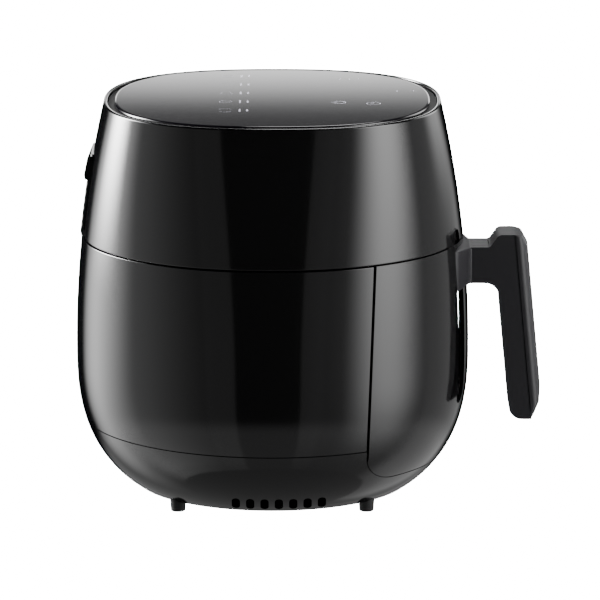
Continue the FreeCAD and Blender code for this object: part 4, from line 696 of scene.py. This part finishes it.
class AIRFRYER_OT_handle(Operator):
    """Handle: bracket and grip from one side outline, the flared root, and the front shell"""
    bl_idname = "airfryer.handle"
    bl_label = "Handle"

    def prism(self, name, outline, across, mouth, slot, replaced):
        """A side outline carried across between the stations given, closed with its own outline at both
        ends; the mouth (half width, near and far distance, depth) is left open on top and gets a well."""
        count = len(outline)
        reaches, levels = outline.T
        points = np.stack(np.broadcast_arrays(across[:, None], AXIS_Y - reaches, levels), -1)
        mesh = bpy.data.meshes.new(name)
        faces = quads(len(across), count, closed_columns=True).reshape(-1, 4).tolist()
        half, near, far, depth = mouth
        flat = points.reshape(-1, 3)
        centre = flat[np.array(faces)].mean(1)
        reach = AXIS_Y - centre[:, 1]
        top = levels[np.abs(reaches - near).argmin()]
        inside = (np.abs(centre[:, 0]) < half) & (reach > near) & (reach < far) & (centre[:, 2] > top - 1e-5)
        faces = [face for face, cut in zip(faces, inside) if not cut]
        stations = across[np.abs(across) <= half + 1e-6]
        ring = [(x, near) for x in stations] + [(x, far) for x in stations[::-1]]
        well = np.array([(x, AXIS_Y - u, top - sink) for sink in (0, depth) for x, u in ring])
        base, size = len(flat), len(ring)
        faces += (quads(2, size, closed_columns=True).reshape(-1, 4) + base).tolist()
        faces.append(list(range(base + size, base + 2 * size)))
        points = np.concatenate([flat, well])
        last = (len(across) - 1) * count
        faces += [list(range(count))[::-1], list(range(last, last + count))]
        mesh.from_pydata(points.reshape(-1, 3).tolist(), [], faces)
        piece = place_mesh(name, mesh, "drawer", FINISHES[slot], replaced)
        round_edges(piece, 0.8 * MM, 4, 50)

    def execute(self, context):
        f = form()
        front = AXIS_Y - low("handle_front")[1]
        top, bottom = high("handle_front")[2], low("handle_front")[2]
        nose, nose_level, reach_level = front - 10.1 * MM, 187 * MM, 80 * MM
        lean = (front - nose) / (nose_level - reach_level)

        def line(level, depth):
            return nose + lean * (nose_level - level) - depth

        depth, split = 25.3 * MM, 9.8 * MM
        step = 163 * MM
        back = 128 * MM
        arm, shelf = f.arm_low, f.shelf_level
        rear = rounded_outline([
            (back, arm, 0),
            (line(arm, depth), arm, 10 * MM),
            (line(bottom, depth), bottom, 10 * MM),
            (line(bottom, split - 0.8 * MM), bottom, 0),
            (line(top, split - 0.8 * MM), top, 0),
            (step + 3.5 * MM, top, 5 * MM),
            (step - 3 * MM, shelf, 4 * MM),
            (back, shelf, 0)])
        button_low, button_high = low("release_button"), high("release_button")
        gap, flange = 0.3 * MM, 1.0 * MM
        near, far = AXIS_Y - button_high[1] + flange - gap, AXIS_Y - button_low[1] - flange + gap
        mouth_half = button_high[0] - flange + gap
        index = len(rear) - 1
        rear = np.concatenate([rear[:index], [[far, shelf], [near, shelf]], rear[index:]])
        across = np.concatenate([[-f.handle_half], np.linspace(-mouth_half, mouth_half, 5), [f.handle_half]])
        self.prism("handle_rear", rear, across, (mouth_half, near, far, 9 * MM), "handle_satin",
                   ["handle_grip"])
        self.root(arm, shelf)
        self.front_shell(line, nose, top, bottom, split, front)
        return {"FINISHED"}

    def root(self, arm, shelf):
        """Flared root: rounded rectangles between the arm's underside and the shelf, whose half width
        eases from the recess's to the arm's as they come forward."""
        f = form()
        steps = np.concatenate([[121, 128], np.linspace(133.5, 147.5, 18)]) * MM
        ease = np.clip((steps - 133.5 * MM) / (14 * MM), 0, 1)
        ease = ease * ease * (3 - 2 * ease)
        wide = (f.recess_half - 0.9 * MM) * (1 - ease) + (f.handle_half - 0.4 * MM) * ease
        size = 1.6 * MM
        angle = np.linspace(0, np.pi / 2, 6)
        corner = np.stack([np.cos(angle), np.sin(angle)], 1) * size
        x_sign, z_sign = np.array([1, -1, -1, 1]), np.array([1, 1, -1, -1])
        peak = shelf - 0.15 * MM + 4 * MM * (1 - ease)
        middle, half = (arm + peak)[:, None] / 2, (peak - arm)[:, None] / 2 - 0.1 * MM
        ring_x, ring_z = [], []
        for index in range(4):
            spots = corner if index % 2 == 0 else corner[::-1]
            ring_x.append(x_sign[index] * (wide[:, None] - size + spots[None, :, 0]))
            ring_z.append(middle + z_sign[index] * (half - size + spots[None, :, 1]))
        x, z = np.concatenate(ring_x, 1), np.concatenate(ring_z, 1)
        points = np.stack([x, AXIS_Y - np.repeat(steps[:, None], x.shape[1], 1), z], -1)
        make_piece("handle_root", points, quads(*x.shape, closed_columns=True), "drawer",
                   FINISHES["handle_satin"])

    def front_shell(self, line, nose, top, bottom, split, front):
        """Front shell: the side outline gives how far forward each station reaches, and the plan bow takes
        that back towards both sides, with a rounded edge; the back is flat."""
        f = form()
        outline = rounded_outline([
            (line(top, split), top - 0.5 * MM, 0),
            (line(top, split) + 0.6 * MM, top, 0.4 * MM),
            (nose - 4.5 * MM, top - 1.2 * MM, 3 * MM),
            (nose, 187 * MM, 3 * MM),
            (front, 80 * MM, 30 * MM),
            (front - 0.8 * MM, 68 * MM, 6 * MM),
            (front - 6.5 * MM, bottom + 1.2 * MM, 2.5 * MM),
            (line(bottom, split), bottom, 0)], 10)
        face = outline[:-1]
        dense = [face[0]]
        for a, b in zip(face[:-1], face[1:]):
            pieces = max(1, int(np.linalg.norm(b - a) / (5 * MM)))
            dense += [a + (b - a) * k / pieces for k in range(1, pieces + 1)]
        face = np.array(dense + [outline[-1]])
        edge = 2.2 * MM
        inner = f.handle_half - edge
        run, fall = quarter(edge, 8)
        x = np.concatenate([np.linspace(0, inner, 14), inner + run[1:]])
        drop = np.concatenate([np.zeros(14), fall[1:]])
        bow = 6.4 * MM * (x / f.handle_half) ** 2
        level = face[:, 1]
        column = line(level, 0)[:, None] + 1.5 * MM - bow[None, :]
        reach = face[:, 0][:, None] + np.zeros_like(x)[None, :]
        soft = 1.0 * MM
        gap = (reach - column) / soft
        smaller = np.where(gap > 12, column, reach - soft * np.logaddexp(0, np.clip(gap, -30, 30)))
        forward = smaller - drop[None, :]
        back = line(level, split)[:, None]
        forward = np.maximum(forward, back + 0 * forward)
        half = np.stack([np.broadcast_to(x, forward.shape), AXIS_Y - forward,
                         np.broadcast_to(level[:, None], forward.shape)], -1)
        side_end = np.stack([np.full_like(level, f.handle_half), AXIS_Y - back[:, 0], level], -1)[:, None]
        half = np.concatenate([half, side_end], 1)
        points = np.concatenate([half[:, :0:-1] * [-1, 1, 1], half], 1)
        face = make_piece("handle_face", points, quads(points.shape[0], points.shape[1], closed_columns=True),
                          "drawer", FINISHES["handle_satin"], ["handle_front"])
        round_edges(face, 0.35 * MM, 2, 50)


class AIRFRYER_OT_small_parts(Operator):
    """Four rubber feet"""
    bl_idname = "airfryer.small_parts"
    bl_label = "Feet"

    def execute(self, context):
        f = form()
        for name in ("front_left", "front_right", "rear_left", "rear_right"):
            lowest, highest = low("foot_" + name), high("foot_" + name)
            centre = (lowest + highest) / 2
            size = (highest[0] - lowest[0]) / 2
            taper, edge, level = 0.8 * MM, 1.0 * MM, highest[2] + 1 * MM
            run, fall = quarter(edge, 5)
            profile = [(0, 0.05 * MM), (size - taper - edge - 0.5 * MM, 0)]
            profile += [(size - taper - edge + a, b) for a, b in zip(run, fall)]
            profile += [(size - taper / 2, level / 2), (size, level), (0, level)]
            lathe("rubber_foot_" + name, profile, centre, "housing", FINISHES["foot_rubber"],
                  ["foot_" + name], 40)
        return {"FINISHED"}


CAD_FINISHES = {
    "shell_gloss": ["base_cover", "outlet_cover"],
    "dark_inner": ["top_bezel", "notch_liner", "recess_tray", "drawer_liner", "drawer_bay", "bay_ceiling",
                   "left_rail", "right_rail", "air_duct", "board_frame", "board_spacers"],
    "handle_satin": ["release_button", "latch_lever"],
    "foot_rubber": ["cord_gland"],
    "nonstick": ["pan", "basket"],
    "sheet_steel": ["basket_strap", "pan_brackets", "chamber_liner", "heat_shield", "support_plate",
                    "guard_grille", "latch_pin"],
    "zinc_steel": ["button_springs", "handle_screws", "base_screws", "motor_screws", "strap_rivets", "fan_nut",
                   "motor_shaft", "temperature_probe"],
    "heater_steel": ["heating_element"],
    "fan_aluminium": ["hot_fan", "cooling_fan"],
    "motor_steel": ["motor"],
    "board_green": ["touch_board", "power_board"],
    "component_dark": ["board_components", "thermal_cutout", "drawer_sensor", "sensor_magnet"],
}


class AIRFRYER_OT_inner_parts(Operator):
    """Finishes of the frame's own parts, which stay as they are"""
    bl_idname = "airfryer.inner_parts"
    bl_label = "Inner parts"

    def execute(self, context):
        for slot, names in CAD_FINISHES.items():
            for name in names:
                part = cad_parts[name]
                part.data.materials.clear()
                part.data.materials.append(FINISHES[slot])
        return {"FINISHED"}


# Studio ------------------------------------------------------------------------------------------

def card_material(name, level, fade_across, fade_up, steepness=1.0):
    """Soft light card: an emitter that adds to what lies behind it, and fades to nothing at its edges on
    its own UV map."""
    material = bpy.data.materials.new(name)
    material.use_nodes = True
    tree = material.node_tree
    tree.nodes.clear()
    place = add_node(tree, "ShaderNodeSeparateXYZ",
                     links={"Vector": add_node(tree, "ShaderNodeTexCoord").outputs["UV"]})
    strength = None
    for axis, fade in (("X", fade_across), ("Y", fade_up)):
        for first, last in ((0, fade[0] + 1e-4), (1, 1 - fade[1] - 1e-4)):
            edge = add_node(tree, "ShaderNodeMapRange", {"interpolation_type": "SMOOTHSTEP"},
                            {"Value": place.outputs[axis]}, From_Min=first, From_Max=last, To_Min=0, To_Max=1)
            strength = edge.outputs["Result"] if strength is None else add_node(
                tree, "ShaderNodeMath", {"operation": "MULTIPLY"},
                {0: strength, 1: edge.outputs["Result"]}).outputs["Value"]
    fade = add_node(tree, "ShaderNodeMath", {"operation": "POWER"}, {0: strength})
    fade.inputs[1].default_value = steepness
    power = add_node(tree, "ShaderNodeMath", {"operation": "MULTIPLY"}, {0: fade.outputs["Value"]})
    power.inputs[1].default_value = level
    glow = add_node(tree, "ShaderNodeEmission", links={"Strength": power.outputs["Value"]})
    clear = add_node(tree, "ShaderNodeBsdfTransparent")
    both = add_node(tree, "ShaderNodeAddShader", links={0: glow.outputs["Emission"], 1: clear.outputs["BSDF"]})
    add_node(tree, "ShaderNodeOutputMaterial", links={"Surface": both.outputs["Shader"]})
    return material


def studio_object(name, points, rows, columns, material):
    """Stage surface from a grid of points, with a UV map of its own, unseen by the camera."""
    mesh = bpy.data.meshes.new(name)
    faces = quads(rows, columns).reshape(-1, 4)
    mesh.from_pydata(points.reshape(-1, 3).tolist(), [], faces.tolist())
    layer = mesh.uv_layers.new(name="card")
    up, across = np.meshgrid(np.linspace(0, 1, rows), np.linspace(0, 1, columns), indexing="ij")
    uv = np.stack([across.ravel(), up.ravel()], 1)[faces.ravel()]
    layer.data.foreach_set("uv", uv.ravel())
    mesh.materials.append(material)
    made = bpy.data.objects.new(name, mesh)
    bpy.context.scene.collection.objects.link(made)
    made.visible_camera = False
    return made


def curved_card(name, start, end, bottom, top, level, fade_across, fade_up, distance=2.4):
    """Card on an upright cylinder round the object, between two azimuths counted from the camera's side
    towards the handle, in degrees; its height is given as angles above the object's middle."""
    azimuth = np.radians(np.linspace(start, end, 25))
    object_middle = 0.2
    heights = np.tan(np.radians(np.linspace(bottom, top, 9))) * distance + object_middle
    azimuth, heights = np.meshgrid(azimuth, heights)
    points = np.stack([-distance * np.cos(azimuth), -distance * np.sin(azimuth), heights], -1)
    return studio_object(name, points, 9, 25, card_material(name, level, fade_across, fade_up))


# Light cards: name, first and last azimuth from the camera's side towards the handle, lowest and highest
# elevation (all in degrees), brightness, and the share of the card over which each side and end fades.
LIGHT_CARDS = (
    ("left_main", -147, -84, -62, 45, 11.5, (0.42, 0.58), (0.97, 0.03)),
    ("left_bright", -136, -100, -11, 40, 80.0, (0.5, 0.5), (0.4, 0.2)),
    ("left_fill", -118, -30, -70, 45, 0.8, (0.3, 0.75), (0.2, 0.2)),
    ("left_panel", -112, -21, -70, 45, 0.24, (0.3, 0.01), (0.2, 0.2)),
    ("right_main", 38, 100, -52, 45, 10.5, (0.45, 0.5), (0.97, 0.03)),
    ("right_fill", 14, 110, -50, 45, 0.6, (0.6, 0.3), (0.6, 0.2)),
    ("right_panel", 15, 100, -70, 45, 0.26, (0.01, 0.3), (0.4, 0.2)),
    ("rear_dim", 160, 200, 2, 40, 0.11, (0.1, 0.1), (0.1, 0.1)),
    ("rear_fill", 84, 160, -70, 40, 0.55, (0.3, 0.15), (0.2, 0.2)),
    ("rear_bright", 116, 154, -8, 40, 3.6, (0.5, 0.3), (0.4, 0.2)),
    ("front_fill", -40, 30, -70, 45, 0.06, (0.05, 0.05), (0.2, 0.2)),
)


class AIRFRYER_OT_studio(Operator):
    """Pale floor, soft light cards, camera"""
    bl_idname = "airfryer.studio"
    bl_label = "Studio"

    def execute(self, context):
        self.floor()
        self.lights()
        self.camera()
        return {"FINISHED"}

    def floor(self):
        """Flat floor and a world of the same white, so that no horizon shows."""
        world = bpy.data.worlds.new("studio")
        bpy.context.scene.world = world
        world.use_nodes = True
        world.node_tree.nodes["Background"].inputs["Color"].default_value = (1, 1, 1, 1)
        world.node_tree.nodes["Background"].inputs["Strength"].default_value = 20.0
        material, tree, shader = finish_of("white_card_floor", colours().floor, 0.9,
                                           Emission_Color=(1, 1, 1, 1), Emission_Strength=20.0)
        size = 6.0
        mesh = bpy.data.meshes.new("floor")
        mesh.from_pydata([(-size, -size, 0), (size, -size, 0), (size, size, 0), (-size, size, 0)], [],
                         [(0, 1, 2, 3)])
        mesh.materials.append(material)
        floor = bpy.data.objects.new("floor", mesh)
        bpy.context.scene.collection.objects.link(floor)
        floor.visible_glossy = False
        floor.visible_diffuse = False

    def lights(self):
        """A black drum stops the white room from showing in the gloss; soft cards in front of it draw the
        bright bands down both flanks, with a dark panel between them, and the sheen over the glass."""
        material, tree, shader = finish_of("black_velvet", linear("000000"), 1.0)
        shader.inputs["Specular IOR Level"].default_value = 0.0
        azimuth = np.linspace(0, 2 * np.pi, 49)
        size, heights = np.array([0, 3.2, 3.2, 0]), np.array([-4, -4, 6, 6])
        drum = np.stack([size[:, None] * np.cos(azimuth), size[:, None] * np.sin(azimuth),
                         np.repeat(heights[:, None], 49, 1)], -1)
        studio_object("drum", drum, 4, 49, material)
        for name, start, end, bottom, top, level, across, up in LIGHT_CARDS:
            curved_card(name, start, end, bottom, top, level, across, up)
        back, under, over = 0.6, 0.3, 0.447
        table_level = -1.2
        y, z = np.meshgrid(np.linspace(-0.28, 0.3, 9), np.linspace(under, over, 9))
        studio_object("glass_card", np.stack([np.full_like(y, back), y, z], -1), 9, 9,
                      card_material("glass_card", 3.0, (0.1, 0.1), (0.02, 0.51), 3.0))
        table = np.stack([size[:2, None] * np.cos(azimuth), size[:2, None] * np.sin(azimuth),
                          np.full((2, 49), table_level)], -1)
        studio_object("table_glow", table, 2, 49, card_material("table_glow", 0.34, (0.0, 0.0), (0.0, 0.3)))
        for name, place, size, energy in (("overhead", (-0.3, -0.5, 1.9), 1.4, 10),
                                          ("top_back", (0.9, -0.2, 1.7), 0.6, 12)):
            light = bpy.data.lights.new(name, "AREA")
            light.shape, light.size, light.energy = "SQUARE", size, energy
            lamp = bpy.data.objects.new(name, light)
            lamp.location = place
            lamp.rotation_euler = (Vector((0, 0, 0.2)) - lamp.location).to_track_quat("-Z", "Y").to_euler()
            lamp.visible_glossy = name == "top_back"
            bpy.context.scene.collection.objects.link(lamp)

    def camera(self):
        """Camera level with the left side, a little above, far away with a long lens."""
        lowest, highest = (np.array(corner) for corner in CAD_BOUNDS)
        elevation, distance = np.radians(12.55), 4.0
        target = Vector((0, 6.5 * MM, 142.7 * MM))
        lens = bpy.data.cameras.new("camera")
        lens.sensor_width = 36
        shown = 443.8 * MM
        lens.lens = lens.sensor_width * MM * distance / shown * 1000
        lens.clip_end = 50
        camera = bpy.data.objects.new("camera", lens)
        camera.location = target + distance * Vector((-np.cos(elevation), 0, np.sin(elevation)))
        camera.rotation_euler = (target - camera.location).to_track_quat("-Z", "Y").to_euler()
        bpy.context.scene.collection.objects.link(camera)
        bpy.context.scene.camera = camera


# Add-on ------------------------------------------------------------------------------------------

OPERATORS = (AIRFRYER_OT_upper_shell, AIRFRYER_OT_lower_shell, AIRFRYER_OT_drawer_face, AIRFRYER_OT_top_glass,
             AIRFRYER_OT_handle, AIRFRYER_OT_small_parts, AIRFRYER_OT_inner_parts, AIRFRYER_OT_studio)


class AIRFRYER_PT_panel(Panel):
    """Lists the pieces, the sizes and the colours"""
    bl_label = "Air Fryer"
    bl_space_type = "VIEW_3D"
    bl_region_type = "UI"
    bl_category = "Air Fryer"

    def draw(self, context):
        for operator in OPERATORS:
            self.layout.operator(operator.bl_idname)
        for group in (form(), colours()):
            column = self.layout.column()
            for name in type(group).__annotations__:
                column.prop(group, name)


def register():
    for kind in (AirFryerForm, AirFryerColours, *OPERATORS, AIRFRYER_PT_panel):
        bpy.utils.register_class(kind)
    bpy.types.Scene.air_fryer_form = PointerProperty(type=AirFryerForm)
    bpy.types.Scene.air_fryer_colours = PointerProperty(type=AirFryerColours)


def unregister():
    del bpy.types.Scene.air_fryer_form, bpy.types.Scene.air_fryer_colours
    for kind in (AIRFRYER_PT_panel, *reversed(OPERATORS), AirFryerColours, AirFryerForm):
        bpy.utils.unregister_class(kind)


def main():
    register()
    make_finishes()
    for operator in OPERATORS:
        group, name = operator.bl_idname.split(".")
        getattr(getattr(bpy.ops, group), name)()


if __name__ == "__main__":
    main()
